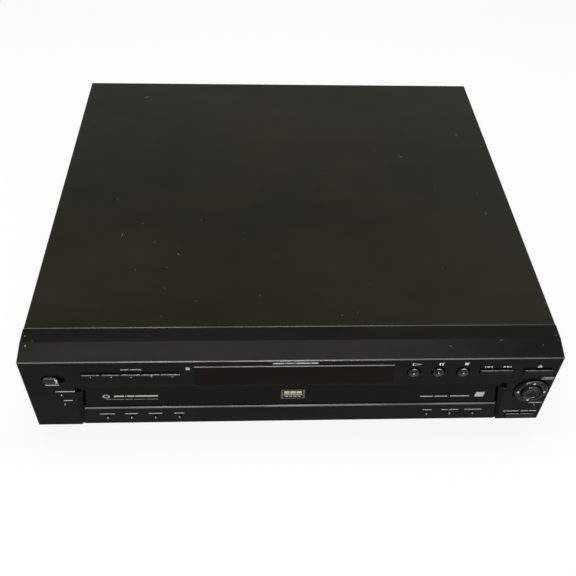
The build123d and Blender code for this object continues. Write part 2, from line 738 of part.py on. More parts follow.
def make_exchange_key(x):
    return make_key((Rectangle(*EXCHANGE_CAP), 1.2, 0), (x, EXCHANGE_Z), (5.9, 3.2))


def make_cursor_ring():
    """Ring round the middle key, with its edge eased; it tips on the pivot frame about either axis."""
    x, z = CURSOR_CENTRE
    ring = front_stud(x, z, FRONT_Y - CURSOR_PROUD, FLANGE_Y + 1, CURSOR_RADIUS, ROUND_SIDES)
    ring = chamfer(ring.faces().sort_by(Axis.Y)[0].edges(), CURSOR_EDGE)
    return ring - front_stud(x, z, FRONT_Y - 4, FLANGE_Y + 2, ENTER_RADIUS + ENTER_GAP, MORE_SIDES)


def make_cursor_pivot():
    """Square frame behind the cursor ring that lets it tip."""
    outer, inner = CURSOR_FRAME
    frame = Rectangle(outer, outer) - Rectangle(inner, inner)
    return front_shape(frame, *CURSOR_CENTRE, *[FLANGE_Y + back for back in CURSOR_FRAME_BACK])


def make_enter_key():
    cap = RegularPolygon(ENTER_RADIUS, MORE_SIDES)
    return make_key((cap, 3.4, 0.8), CURSOR_CENTRE, (3.5, 3.5))


def switch_places():
    """Where a switch stands behind each key: X and Z."""
    places = [POWER_KEY, OPEN_CLOSE_KEY, CURSOR_CENTRE, *SMALL_KEYS.values()]
    places += [(disc_key_x(n), DISC_KEYS_Z) for n in range(DISC_COUNT)]
    places += [(x, TRANSPORT_Z) for x in TRANSPORT_KEYS.values()]
    places += [(ROCKER[0] + dx, ROCKER[1]) for dx in (-ROCKER_STEM_X, ROCKER_STEM_X)]
    places += [(x, EXCHANGE_Z) for x in EXCHANGE_KEYS.values()]
    places += [(x, STRIP_KEYS_Z) for x in STRIP_KEYS.values()]
    return places


def make_tact_switches():
    return [
        across(x, SWITCH_HALF, SWITCH_FRONT_Y, BOARD_Y[0], z, SWITCH_HALF) for x, z in switch_places()
    ]


def make_front_board():
    """Boards behind the key band, behind both pillars and behind the strip."""
    pillar_x, end_x, low, strip_top, band_low, top = 179, 211, 17, 32, 68, 93
    board = block(-end_x, end_x, *BOARD_Y, band_low, top)
    pillar = block(pillar_x, end_x, *BOARD_Y, low, band_low)
    return board + pillar + mirrored(pillar) + block(-pillar_x, pillar_x, *BOARD_Y, low, strip_top)


# Tray


def corner_pockets():
    """The hollows under the tray's corners, outside the bowl; the front left corner holds the motor."""
    length = TRAY_BACK_Y - TRAY_BODY_Y
    inner = Rectangle(2 * (TRAY_HALF_WIDTH - TRAY_WALL), length - 2 * TRAY_WALL)
    corners = Pos(0, (TRAY_BODY_Y + TRAY_BACK_Y) / 2) * inner
    corners -= Pos(0, CAROUSEL_Y) * RegularPolygon(TRAY_BOWL_RADIUS + 2, RIM_SIDES)
    corners -= Pos(0, CAROUSEL_Y) * Rectangle(140, 400)
    for pocket in corners.faces():
        middle = pocket.center()
        if middle.X > 0 or middle.Y > CAROUSEL_Y:
            yield extrude(Pos(0, 0, DECK_BOTTOM_Z - 1) * pocket, amount=TRAY_TOP_Z - DECK_BOTTOM_Z - 1)


def gear_shelf():
    """The ledge that carries the table motor, cut to the tray's corner."""
    x, y = TABLE_GEAR_X - GEAR_SHELF_OFFSET, TABLE_GEAR_Y - GEAR_SHELF_OFFSET
    shelf = Pos(x, y, GEAR_SHELF_Z) * Rot(0, 0, 45) * Box(*GEAR_SHELF)
    shelf &= block(-TRAY_HALF_WIDTH, 0, TRAY_BODY_Y, 0, DECK_BOTTOM_Z, TRAY_TOP_Z)
    shelf -= stud(0, CAROUSEL_Y, DECK_BOTTOM_Z, TRAY_TOP_Z, TRAY_BOWL_RADIUS, RIM_SIDES)
    return shelf - post(TABLE_GEAR_X, TABLE_GEAR_Y, DECK_BOTTOM_Z, TRAY_TOP_Z, TABLE_SHAFT_RADIUS + 0.7)


def make_tray():
    """Deck, bowl for the carousel, corner shelves, side rails and the rack under the left side."""
    half = TRAY_HALF_WIDTH
    above = TRAY_TOP_Z + 1
    tray = block(-half, half, TRAY_BODY_Y, TRAY_BACK_Y, DECK_BOTTOM_Z, TRAY_TOP_Z)
    tray -= stud(0, CAROUSEL_Y, DECK_TOP_Z, above, TRAY_BOWL_RADIUS, RIM_SIDES)
    for pocket in corner_pockets():
        tray -= pocket
    tray -= block(TRAY_WALL - half, -62, TRAY_BODY_Y + TRAY_WALL, -100, DECK_TOP_Z, above)
    tray += gear_shelf()
    gap = READER_GAP_HALF
    tray -= block(-gap, gap, READER_GAP_FRONT_Y, TRAY_BACK_Y + 1, DECK_BOTTOM_Z - 1, above)
    tray += post(0, CAROUSEL_Y, DECK_TOP_Z - 1, HUB_POST_TOP_Z, HUB_POST_RADIUS)
    rail = block(half - 1, half + RAIL_REACH, TRAY_BODY_Y + RAIL_START, TRAY_BACK_Y, *RAIL_Z)
    rack = rack_outline(DRIVE_Y - RACK_LEAD, DRIVE_Y)
    return tray + rail + mirrored(rail) + flat_shape(rack, 0, 0, RACK_BOTTOM_Z, RACK_TOP_Z)


def make_tray_front():
    """The plate that closes the opening: a wide brow on top, then slanted ends down to the strip."""
    half = [
        (BROW_HALF_WIDTH, TRAY_FRONT_TOP_Z),
        (BROW_HALF_WIDTH, BROW_BOTTOM_Z),
        (tray_edge_x(BROW_BOTTOM_Z), BROW_BOTTOM_Z),
        (tray_edge_x(TRAY_FRONT_FOOT_Z), TRAY_FRONT_FOOT_Z),
    ]
    plate = front_outline(both_ways(half), TRAY_FRONT_Y, TRAY_BODY_Y)
    ends = plate.faces().sort_by(Axis.Y)[0].edges().filter_by(Axis.X, reverse=True)
    return chamfer([e for e in ends if e.center().Z < BROW_BOTTOM_Z], TRAY_FRONT_EDGE)


def make_table_motor():
    """Can motor on the gear shelf, with its shaft down through the gear."""
    x, y = TABLE_GEAR_X, TABLE_GEAR_Y
    can = stud(x, y, *TABLE_MOTOR_Z, TABLE_MOTOR_RADIUS, MORE_SIDES)
    return can + stud(x, y, DECK_TOP_Z + 0.3, TABLE_MOTOR_Z[0] + 0.6, TABLE_SHAFT_RADIUS, FEW_SIDES)


def make_table_gear():
    first = TABLE_GEAR_ANGLE + 180 + 180 / TABLE_TEETH
    outline = gear_outline(TABLE_TEETH, first, RING_MODULE)
    z0, z1 = TABLE_GEAR_Z
    gear = flat_shape(outline, TABLE_GEAR_X, TABLE_GEAR_Y, z0, z1)
    return gear - shaft_hole(TABLE_GEAR_X, TABLE_GEAR_Y, z0 - 1, z1 + 1, TABLE_SHAFT_RADIUS)


# Carousel


def disc_station():
    """What is cut for one disc: the disc's middle is at the origin, the carousel's to the left."""
    above = CAROUSEL_TOP_Z + 1
    well = stud(0, 0, WELL_FLOOR_Z, above, WELL_RADIUS, WELL_SIDES)
    well += stud(0, 0, SMALL_DISC_FLOOR_Z, WELL_FLOOR_Z, SMALL_DISC_RADIUS, MORE_SIDES)
    slot = Pos(-SLOT_LENGTH / 2, 0) * Rectangle(SLOT_LENGTH, 2 * SLOT_HALF_WIDTH)
    slot += RegularPolygon(HUB_HOLE_RADIUS, MORE_SIDES)
    return well + flat_shape(slot, 0, 0, CAROUSEL_BOTTOM_Z - 5, above)


def make_carousel():
    """Turntable with five stepped wells, a slot under each for the reader and teeth under the rim."""
    table = stud(0, 0, CAROUSEL_BOTTOM_Z, CAROUSEL_TOP_Z, CAROUSEL_RADIUS, RIM_SIDES)
    for angle in STATIONS:
        table -= Rot(0, 0, angle) * Pos(DISC_CIRCLE_RADIUS, 0, 0) * disc_station()
    inside = RegularPolygon(root_radius(RING_TEETH, RING_MODULE) - RING_WALL, ROUND_SIDES)
    ring = gear_outline(RING_TEETH, TABLE_GEAR_ANGLE, RING_MODULE) - inside
    table += flat_shape(ring, 0, 0, DECK_TOP_Z + 1, CAROUSEL_BOTTOM_Z)
    hub = HUB_POST_RADIUS + HUB_WALL
    table += stud(0, 0, DECK_TOP_Z + 0.4, CAROUSEL_BOTTOM_Z, hub, MORE_SIDES)
    table -= post(0, 0, DECK_TOP_Z, HUB_POST_TOP_Z + 2.7, HUB_POST_RADIUS + RUNNING_GAP)
    return Pos(0, CAROUSEL_Y, 0) * table


def make_carousel_cap():
    """Low cap with a sloped edge over the middle of the turntable."""
    cap = stud(0, CAROUSEL_Y, CAROUSEL_TOP_Z, CAROUSEL_TOP_Z + CAP_HEIGHT, CAP_RADIUS, ROUND_SIDES)
    return pointed(cap, CAP_RADIUS / 4, CAP_HEIGHT * 0.6)


# Mechanism base and tray drive


def base_side():
    """The right wall of the base, with the groove that holds the tray's rail, and a lug for the reader."""
    groove = TRAY_HALF_WIDTH + RAIL_REACH + RAIL_GAP
    z0, z1 = RAIL_Z
    outline = [
        (BASE_OUTER_X, PAN_TOP_Z),
        (BASE_OUTER_X, BASE_TOP_Z),
        (BASE_INNER_X, BASE_TOP_Z),
        (BASE_INNER_X, z1 + RAIL_GAP),
        (groove, z1 + RAIL_GAP),
        (groove, z0 - RAIL_GAP),
        (BASE_INNER_X, z0 - RAIL_GAP),
        (BASE_INNER_X, BASE_PLATE_Z[0]),
        (BASE_OUTER_X - BASE_WALL, BASE_PLATE_Z[0]),
        (BASE_OUTER_X - BASE_WALL, PAN_TOP_Z),
    ]
    wall = front_outline(make_face(Polyline(*outline, close=True)), BASE_FRONT_Y, TRAY_BACK_Y)
    lug_x = BASE_WINDOW_HALF + 2.5
    return wall + around(lug_x, 2.5, PIVOT_Y, 5, BASE_PLATE_Z[0] - 3, PIVOT_Z + 4)


def make_mechanism_base():
    """Moulded chassis: guide rails on both sides, a plate for the drive and lugs for the reader."""
    base = block(-BASE_INNER_X - 1, BASE_INNER_X + 1, BASE_FRONT_Y, TRAY_BACK_Y, *BASE_PLATE_Z)
    right = base_side()
    base += right + mirrored(right)
    below, above = BASE_PLATE_Z[0] - 1, BASE_PLATE_Z[1] + 1
    window = BASE_WINDOW_HALF
    base -= block(-window, window, PIVOT_Y - 8, FRAME_BACK_Y + 8, below, above)
    for x in BASE_SLOT_X:
        slot = block(x, x + BASE_SLOT_WIDTH, *BASE_SLOT_Y, below, above)
        base = base - slot - mirrored(slot)
    pivot = Pos(window + 2, PIVOT_Y, PIVOT_Z) * Rot(0, 90, 0) * Cylinder(SHAFT_RADIUS + RUNNING_GAP, 8)
    base = base - pivot - mirrored(pivot)
    base -= stud(MOTOR_PULLEY_X, DRIVE_Y, below, above, LOADING_MOTOR_RADIUS + 0.6, MORE_SIDES)
    for x in (RACK_GEAR_X, PULLEY_X):
        base += stud(x, DRIVE_Y, BASE_PLATE_Z[1] - 1, GEAR_TOP_Z - 0.4, SHAFT_RADIUS, FEW_SIDES)
    return base


def make_rack_gear():
    outline = gear_outline(RACK_GEAR_TEETH, 180)
    gear = flat_shape(outline, RACK_GEAR_X, DRIVE_Y, GEAR_FLOOR_Z, GEAR_TOP_Z)
    return gear - shaft_hole(RACK_GEAR_X, DRIVE_Y, GEAR_FLOOR_Z - 1, GEAR_TOP_Z + 1, SHAFT_RADIUS)


def make_pulley_gear():
    """Belt pulley moulded on top of a small gear."""
    outline = gear_outline(PULLEY_GEAR_TEETH, 180 + 180 / PULLEY_GEAR_TEETH)
    gear = flat_shape(outline, PULLEY_X, DRIVE_Y, GEAR_FLOOR_Z, PULLEY_Z)
    gear += stud(PULLEY_X, DRIVE_Y, PULLEY_Z, GEAR_TOP_Z, PULLEY_RADIUS, MORE_SIDES)
    return gear - shaft_hole(PULLEY_X, DRIVE_Y, GEAR_FLOOR_Z - 1, GEAR_TOP_Z + 1, SHAFT_RADIUS)


def make_motor_pulley():
    bottom = LOADING_SHAFT_TOP_Z + 0.4
    return stud(MOTOR_PULLEY_X, DRIVE_Y, bottom, GEAR_TOP_Z, MOTOR_PULLEY_RADIUS, MORE_SIDES)


def make_loading_motor():
    """Can motor that hangs through the base by two tabs, with its shaft end under the pulley."""
    x, top = MOTOR_PULLEY_X, LOADING_MOTOR_TOP_Z
    can = stud(x, DRIVE_Y, PAN_TOP_Z + 1, top, LOADING_MOTOR_RADIUS, KEY_SIDES)
    can += stud(x, DRIVE_Y, top - 1, LOADING_SHAFT_TOP_Z, SHAFT_RADIUS, FEW_SIDES)
    width, depth, thickness = MOTOR_TABS
    z0 = BASE_PLATE_Z[1]
    return can + around(x, width / 2, DRIVE_Y, depth / 2, z0, z0 + thickness)


def belt_outline(gap):
    """A loop round both pulleys, this far outside their rims."""
    large = Pos(PULLEY_X, DRIVE_Y) * RegularPolygon(PULLEY_RADIUS + gap, MORE_SIDES)
    small = Pos(MOTOR_PULLEY_X, DRIVE_Y) * RegularPolygon(MOTOR_PULLEY_RADIUS + gap, FEW_SIDES)
    return make_hull([*large.edges(), *small.edges()])


def make_loading_belt():
    loop = belt_outline(BELT_GAP + BELT_THICKNESS) - belt_outline(BELT_GAP)
    return flat_shape(loop, 0, 0, *BELT_Z)


# Disc reader


def make_clamp_bridge():
    """Ribbed beam over the carousel, on a leg at each side."""
    outer = BASE_OUTER_X
    y0, y1 = READER_Y - BRIDGE_HALF_DEPTH, READER_Y + BRIDGE_HALF_DEPTH
    rib, height = BRIDGE_RIB
    bridge = block(-outer, outer, y0, y1, BRIDGE_Z, BRIDGE_Z + BRIDGE_THICKNESS)
    for y in (y0, y1 - rib):
        bridge += block(-outer, outer, y, y + rib, BRIDGE_Z, BRIDGE_Z + height)
    leg = block(outer - BRIDGE_LEG, outer, y0, y1, BASE_TOP_Z, BRIDGE_Z + 1)
    bridge += leg + mirrored(leg)
    return bridge - post(0, READER_Y, BRIDGE_Z - 1, BRIDGE_Z + height + 1, CLAMP_HOLE_RADIUS)


def make_clamper():
    """Spool that hangs in the bridge: disc below, neck through the hole and flange above."""
    top = BRIDGE_Z + BRIDGE_THICKNESS + 0.4
    disc_low, disc_high = CLAMPER_DISC_Z
    parts = (
        (disc_low, disc_high, CLAMPER_DISC_RADIUS),
        (disc_high - 0.5, top + 1, CLAMPER_NECK_RADIUS),
        (top, top + 1.5, CLAMPER_FLANGE_RADIUS),
    )
    return Compound([stud(0, READER_Y, z0, z1, radius, KEY_SIDES) for z0, z1, radius in parts])


def make_optical_frame():
    """Frame with a window for the sled, two arms to the pivot and a flat motor under the spindle."""
    z0, z1 = FRAME_Z
    half, window = FRAME_HALF_WIDTH, FRAME_WINDOW_HALF
    front = FRAME_FRONT_Y
    frame = block(-half, half, front, FRAME_BACK_Y, z0, z1)
    frame -= block(-window, window, front + FRAME_BAR, SLED_WINDOW_BACK_Y, z0 - 1, z1 + 1)
    arm_y = PIVOT_Y - FRAME_ARM
    outline = Polyline(
        (arm_y, PIVOT_Z - 3), (front + 20, z0 + 0.5), (front, z0 + 2), (arm_y, PIVOT_Z + 4), close=True
    )
    right = Pos(half - FRAME_ARM, 0, 0) * extrude(make_face(Plane.YZ * outline), amount=FRAME_ARM)
    pin = extrude(Plane.YZ * RegularPolygon(SHAFT_RADIUS, FEW_SIDES), amount=9)
    right += Pos(half - 3, PIVOT_Y, PIVOT_Z) * pin
    frame += right + mirrored(right)
    frame += stud(0, READER_Y, SPINDLE_MOTOR_Z, z0 + 1, SPINDLE_MOTOR_RADIUS, MORE_SIDES)
    return lowered(frame)


def make_guide_rods():
    front_y, back_y = FRAME_FRONT_Y + FRAME_BAR, SLED_WINDOW_BACK_Y
    rods = [front_stud(x, ROD_Z, front_y, back_y, ROD_RADIUS, FEW_SIDES) for x in (-ROD_X, ROD_X)]
    return [lowered(rod) for rod in rods]


def make_disc_spindle():
    """Shaft and turntable with the cone that centres the disc."""
    seat = SPINDLE_SEAT_Z
    radius, thickness = SPINDLE_SEAT
    spindle = stud(0, READER_Y, FRAME_Z[1] + 0.4, seat, SPINDLE_RADIUS, FEW_SIDES)
    spindle += stud(0, READER_Y, seat - thickness, seat, radius, MORE_SIDES)
    radius, height = SPINDLE_CONE
    cone = stud(0, READER_Y, seat, seat + height, radius, FEW_SIDES)
    return lowered(spindle + pointed(cone, radius - 4, height - 0.1))


def make_pickup_sled():
    """Carriage on the two rods, with the lens block and lens on top."""
    y = READER_Y - SLED_LENS_RADIUS
    half_x, half_y = SLED_HALF
    sled = around(0, half_x, y, half_y, ROD_Z - 2.5, ROD_Z + 3.3)
    sled += around(0, LENS_BLOCK_HALF[0], y, LENS_BLOCK_HALF[1], ROD_Z + 3, LENS_BLOCK_TOP_Z)
    sled += stud(0, y, LENS_BLOCK_TOP_Z - 1, LENS_BLOCK_TOP_Z + 1, LENS_RADIUS, MORE_SIDES)
    notch = ROD_RADIUS + RUNNING_GAP
    for x in (-ROD_X, ROD_X):
        sled -= around(x, notch, y, half_y + 1, ROD_Z - 3, ROD_Z + notch)
    return lowered(sled)


# Boards and sockets


def standoffs(left, right):
    """Two metal posts under a board, near its ends."""
    half, top = STANDOFF_HALF, REAR_BOARD_Z[0]
    return [around(x, half, STANDOFF_Y, half, PAN_TOP_Z, top) for x in (left, right)]


def make_main_board():
    """Board with its processor, memory and ribbon socket."""
    z = REAR_BOARD_Z[1]
    board = block(*MAIN_BOARD_X, *REAR_BOARD_Y, *REAR_BOARD_Z)
    board += around(152, 12, 174, 12, z, z + 2.4)
    board += around(177, 5, 174, 10, z, z + 1.6)
    board += around(80, 20, 159, 2, z, z + 8)
    return board + standoffs(10, 198)


def make_power_board():
    """Board with a switching transformer, two capacitors and an upright heat sink."""
    z = REAR_BOARD_Z[1]
    board = block(*POWER_BOARD_X, *REAR_BOARD_Y, *REAR_BOARD_Z)
    board += around(-104, 16, 175, 13, z, z + 26)
    board += stud(-148, 172, z, z + 24, 8, FEW_SIDES)
    board += stud(-66, 170, z, z + 18, 6, FEW_SIDES)
    sink_x, sink_top, fin_pitch = -50, z + 28, 7
    for n in range(4):
        fin_x = sink_x + fin_pitch * n
        board += block(fin_x, fin_x + 3, 164, 186, z, sink_top)
    board += block(sink_x, sink_x + 3 * fin_pitch + 3, 174, 176, z, sink_top)
    return board + standoffs(-198, -16)


def socket_block(x0, x1, low, high):
    """The body of a group of sockets, and the leg that stands on the board."""
    z0, z1 = low - BLOCK_MARGIN_Z, high + BLOCK_MARGIN_Z
    back = SOCKET_FACE_Y - BLOCK_DEPTH
    leg = block(x0, x1, back, back + BLOCK_LEG, REAR_BOARD_Z[1], z0 + 1)
    return block(x0, x1, back, SOCKET_FACE_Y, z0, z1) + leg


def with_jack(sockets, x, z):
    """Adds one round jack with its hole."""
    tip = BACK_Y + JACK_REACH
    sockets += front_stud(x, z, SOCKET_FACE_Y - 0.5, tip, JACK_RADIUS, JACK_SIDES)
    return sockets - front_stud(x, z, BACK_Y - 2, tip + 1, JACK_HOLE_RADIUS, SMALL_KEY_SIDES)


def make_phono_sockets():
    """Block with two rows of three jacks that stand out of the back."""
    x0, x1 = PHONO_X[0] - BLOCK_MARGIN_X, PHONO_X[-1] + BLOCK_MARGIN_X
    sockets = socket_block(x0, x1, PHONO_Z[0], PHONO_Z[-1])
    for x in PHONO_X:
        for z in PHONO_Z:
            sockets = with_jack(sockets, x, z)
    return sockets


def make_signal_sockets():
    """Round video socket, square optical socket and a single digital jack in one block."""
    round_x, square_x, jack_x = SOCKETS_X
    z = SOCKETS_Z
    sockets = socket_block(round_x - BLOCK_MARGIN_Z, jack_x + BLOCK_MARGIN_X, z, z)
    rim_y, inside = BACK_Y + SOCKET_RIM, BACK_Y - SOCKET_DEPTH
    rim_radius, hole_radius = VIDEO_SOCKET_RADII
    sockets += front_stud(round_x, z, SOCKET_FACE_Y - 0.5, rim_y, rim_radius, MORE_SIDES)
    sockets -= front_stud(round_x, z, inside, rim_y + 1, hole_radius, MORE_SIDES)
    rim_half, hole_half = OPTICAL_HALVES
    sockets += across(square_x, rim_half, SOCKET_FACE_Y - 0.5, rim_y, z, rim_half)
    sockets -= across(square_x, hole_half, inside, rim_y + 1, z, hole_half)
    return with_jack(sockets, jack_x, z)


def make_power_inlet():
    """Two-pin inlet: a recess shaped like a figure of eight with its two pins."""
    half_x, half_z = INLET_HALF
    back = SOCKET_FACE_Y - INLET_DEPTH
    x0, x1 = INLET_X - half_x, INLET_X + half_x
    inlet = block(x0, x1, back, BACK_Y, INLET_Z - half_z, INLET_Z + half_z)
    inlet += block(x0, x1, back, back + 6, REAR_BOARD_Z[1], INLET_Z)
    lobe = RegularPolygon(INLET_LOBE_RADIUS, FEW_SIDES)
    recess = Pos(-INLET_PIN_X, 0) * lobe + Pos(INLET_PIN_X, 0) * lobe
    inlet -= front_shape(recess, INLET_X, INLET_Z, BACK_Y - INLET_RECESS, BACK_Y + 1)
    for dx in (-INLET_PIN_X, INLET_PIN_X):
        pin_back = BACK_Y - INLET_RECESS - 0.5
        inlet += front_stud(INLET_X + dx, INLET_Z, pin_back, BACK_Y - 2, INLET_PIN_RADIUS, SMALL_KEY_SIDES)
    return inlet


def write(name, shapes):
    """Writes one piece, or a group of like pieces, to its own file."""
    solids = shapes if isinstance(shapes, list) else [shapes]
    whole = Compound(children=[s for shape in solids for s in shape.solids()])
    export_step(whole, f"parts/{name}.step")


def main():
    os.makedirs("parts", exist_ok=True)
    pieces = {
        "top_cover": make_top_cover(),
        "cover_screws": make_cover_screws(),
        "base_pan": make_base_pan(),
        "feet": make_feet(),
        "rear_panel": make_rear_panel(),
        "front_panel": make_front_panel(),
        "display_window": make_display_window(),
        "display_tube": make_display_tube(),
        "front_board": make_front_board(),
        "tact_switches": make_tact_switches(),
        "main_board": make_main_board(),
        "power_board": make_power_board(),
        "phono_sockets": make_phono_sockets(),
        "signal_sockets": make_signal_sockets(),
        "power_inlet": make_power_inlet(),
        "mechanism_base": make_mechanism_base(),
        "loading_motor": make_loading_motor(),
        "loading_belt": make_loading_belt(),
        "motor_pulley": make_motor_pulley(),
        "pulley_gear": make_pulley_gear(),
        "rack_gear": make_rack_gear(),
        "clamp_bridge": make_clamp_bridge(),
        "clamper": make_clamper(),
        "tray": make_tray(),
        "tray_front": make_tray_front(),
        "table_motor": make_table_motor(),
        "table_gear": make_table_gear(),
        "carousel": make_carousel(),
        "carousel_cap": make_carousel_cap(),
        "optical_frame": make_optical_frame(),
        "guide_rods": make_guide_rods(),
        "disc_spindle": make_disc_spindle(),
        "pickup_sled": make_pickup_sled(),
        "power_key": make_power_key(),
        "skip_rocker": make_skip_rocker(),
        "open_close_key": make_open_close_key(),
        "cursor_ring": make_cursor_ring(),
        "cursor_pivot": make_cursor_pivot(),
        "enter_key": make_enter_key(),
    }
    for n in range(DISC_COUNT):
        pieces[f"disc_key_{n + 1}"] = make_disc_key(n)
    for name, x in TRANSPORT_KEYS.items():
        pieces[name] = make_transport_key(x)
    for name, x in EXCHANGE_KEYS.items():
        pieces[name] = make_exchange_key(x)
    for name, place in SMALL_KEYS.items():
        pieces[name] = make_small_key(*place)
    for name, x in STRIP_KEYS.items():
        pieces[name] = make_small_key(x, STRIP_KEYS_Z)
    for name, shapes in pieces.items():
        write(name, shapes)


main()
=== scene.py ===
"""A five-disc carousel changer on white studio paper: painted case, moulded front and geared carousel."""
from math import cos, pi, radians, sin

import bmesh
import bpy
from mathutils import Matrix, Vector


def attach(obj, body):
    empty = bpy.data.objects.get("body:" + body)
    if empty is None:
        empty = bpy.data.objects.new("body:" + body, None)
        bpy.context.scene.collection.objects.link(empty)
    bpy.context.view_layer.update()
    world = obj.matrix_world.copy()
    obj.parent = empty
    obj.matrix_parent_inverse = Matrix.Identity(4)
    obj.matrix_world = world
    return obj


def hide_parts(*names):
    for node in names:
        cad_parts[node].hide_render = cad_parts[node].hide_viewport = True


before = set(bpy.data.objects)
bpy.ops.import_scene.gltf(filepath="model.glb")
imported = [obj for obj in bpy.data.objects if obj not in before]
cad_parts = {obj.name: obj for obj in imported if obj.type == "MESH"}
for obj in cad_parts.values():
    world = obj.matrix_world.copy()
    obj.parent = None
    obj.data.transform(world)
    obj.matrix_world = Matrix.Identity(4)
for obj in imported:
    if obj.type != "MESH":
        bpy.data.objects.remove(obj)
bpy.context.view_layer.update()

# Camera: a normal lens held above the front edge and a little to the left, looking down at 46 degrees.
camera = bpy.data.objects.new("camera", bpy.data.cameras.new("camera"))
bpy.context.scene.collection.objects.link(camera)
camera.data.lens = 45.93
camera.data.sensor_width = 36.0
camera.data.clip_start, camera.data.clip_end = 0.01, 50.0
camera_place = (-0.03356, -0.55724, 0.54822)
camera_right = Vector((0.9988, -0.0372, 0.0316)).normalized()
camera_back = -Vector((0.0486, 0.6934, -0.7189)).normalized()
camera_up = camera_back.cross(camera_right).normalized()
camera_right = camera_up.cross(camera_back)
camera_turn = Matrix((camera_right, camera_up, camera_back)).transposed().to_4x4()
camera.matrix_world = Matrix.Translation(camera_place) @ camera_turn
bpy.context.scene.camera = camera
bpy.context.scene.view_settings.view_transform = "Standard"


# Paper and lamps: seamless white paper, a lamp overhead for the sloped band, two small ones in front that
# draw edges and domes, and a soft one on each side. Paper and sky show white in mirrors and to the camera.
def new_material(name):
    """A material with its nodes, links and main shader at hand."""
    material = bpy.data.materials.new(name)
    material.use_nodes = True
    nodes, links = material.node_tree.nodes, material.node_tree.links
    return material, nodes, links, nodes["Principled BSDF"]


def white_when_seen(nodes, links, lit, white, out):
    """Gives the camera, mirrors and glass the white shader, and every other ray the lit one."""
    path = nodes.new("ShaderNodeLightPath")
    seen = path.outputs["Is Camera Ray"]
    for ray in ("Is Glossy Ray", "Is Transmission Ray"):
        either = nodes.new("ShaderNodeMath")
        either.operation = "MAXIMUM"
        links.new(seen, either.inputs[0])
        links.new(path.outputs[ray], either.inputs[1])
        seen = either.outputs[0]
    mix = nodes.new("ShaderNodeMixShader")
    links.new(seen, mix.inputs["Fac"])
    links.new(lit, mix.inputs[1])
    links.new(white, mix.inputs[2])
    links.new(mix.outputs[0], out.inputs["Surface"])


paper_mesh = bpy.data.meshes.new("paper")
paper_mesh.from_pydata([(-6, -6, 0), (6, -6, 0), (6, 6, 0), (-6, 6, 0)], [], [(0, 1, 2, 3)])
paper = bpy.data.objects.new("paper", paper_mesh)
bpy.context.scene.collection.objects.link(paper)
paper_finish, paper_nodes, paper_links, paper_shader = new_material("paper")
paper_shader.inputs["Base Color"].default_value = (0.85, 0.85, 0.84, 1)
paper_shader.inputs["Roughness"].default_value = 0.9
paper_glow = paper_nodes.new("ShaderNodeEmission")
paper_glow.inputs["Color"].default_value = (1, 1, 1, 1)
paper_white = paper_nodes.new("ShaderNodeMixShader")
paper_white.inputs["Fac"].default_value = 0.9
paper_links.new(paper_shader.outputs[0], paper_white.inputs[1])
paper_links.new(paper_glow.outputs[0], paper_white.inputs[2])
white_when_seen(
    paper_nodes, paper_links, paper_shader.outputs[0], paper_white.outputs[0], paper_nodes["Material Output"]
)
paper_mesh.materials.append(paper_finish)

world = bpy.data.worlds.new("studio")
bpy.context.scene.world = world
world.use_nodes = True
sky_nodes, sky_links = world.node_tree.nodes, world.node_tree.links
sky = sky_nodes["Background"]
sky.inputs["Color"].default_value = (0.97, 0.98, 1.0, 1)
sky.inputs["Strength"].default_value = 0.2
sky_white = sky_nodes.new("ShaderNodeBackground")
sky_white.inputs["Color"].default_value = (1, 1, 1, 1)
white_when_seen(sky_nodes, sky_links, sky.outputs[0], sky_white.outputs[0], sky_nodes["World Output"])


def lamp(name, place, target, width, height, watts):
    """A rectangular soft lamp that points at target."""
    light = bpy.data.lights.new(name, "AREA")
    light.shape = "RECTANGLE"
    light.size, light.size_y, light.energy = width, height, watts
    held = bpy.data.objects.new(name, light)
    bpy.context.scene.collection.objects.link(held)
    held.location = place
    held.rotation_euler = (Vector(target) - Vector(place)).to_track_quat("-Z", "Y").to_euler()


lamp("overhead_lamp", (-0.05, 0.05, 1.3), (-0.03, -0.18, 0.1), 1.2, 0.4, 14)
lamp("front_lamp", (-0.12, -0.95, 0.85), (-0.05, -0.2, 0.09), 0.3, 0.1, 2.2)
lamp("low_lamp", (0.05, -2.2, 0.4), (0.05, -0.2, 0.07), 0.3, 0.2, 6)
lamp("left_lamp", (-1.6, -0.5, 1.3), (0, 0, 0), 1.2, 1.2, 3.5)
lamp("right_lamp", (1.3, 1.3, 1.1), (0.1, 0.1, 0.1), 0.9, 0.9, 2.8)


# Base pan and feet: the pan is folded from zinc plated steel and the four feet are black mouldings
# screwed to it. The zinc shows its crystal pattern and faint rolling lines.
def dress(material, *names):
    """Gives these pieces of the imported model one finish."""
    for name in names:
        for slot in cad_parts[name].material_slots:
            slot.material = material


def add_node(nodes, kind, **inputs):
    """A shader node with some of its inputs set by name."""
    node = nodes.new("ShaderNode" + kind)
    for name, value in inputs.items():
        node.inputs[name.replace("_", " ")].default_value = value
    return node


def stretched_noise(nodes, links, stretch, **inputs):
    """Soft noise over the piece, squeezed or stretched along its axes."""
    where = nodes.new("ShaderNodeTexCoord")
    mapping = add_node(nodes, "Mapping", Scale=stretch)
    noise = add_node(nodes, "TexNoise", **inputs)
    links.new(where.outputs["Object"], mapping.inputs["Vector"])
    links.new(mapping.outputs[0], noise.inputs["Vector"])
    return noise.outputs["Fac"]


def around(shade, low, high):
    """A darker and a lighter shade on either side of one."""
    return [tuple(channel * share for channel in shade) for share in (low, high)]


def product(nodes, links, first, second):
    """Multiplies two values."""
    both = nodes.new("ShaderNodeMath")
    both.operation = "MULTIPLY"
    links.new(first, both.inputs[0])
    links.new(second, both.inputs[1])
    return both.outputs[0]


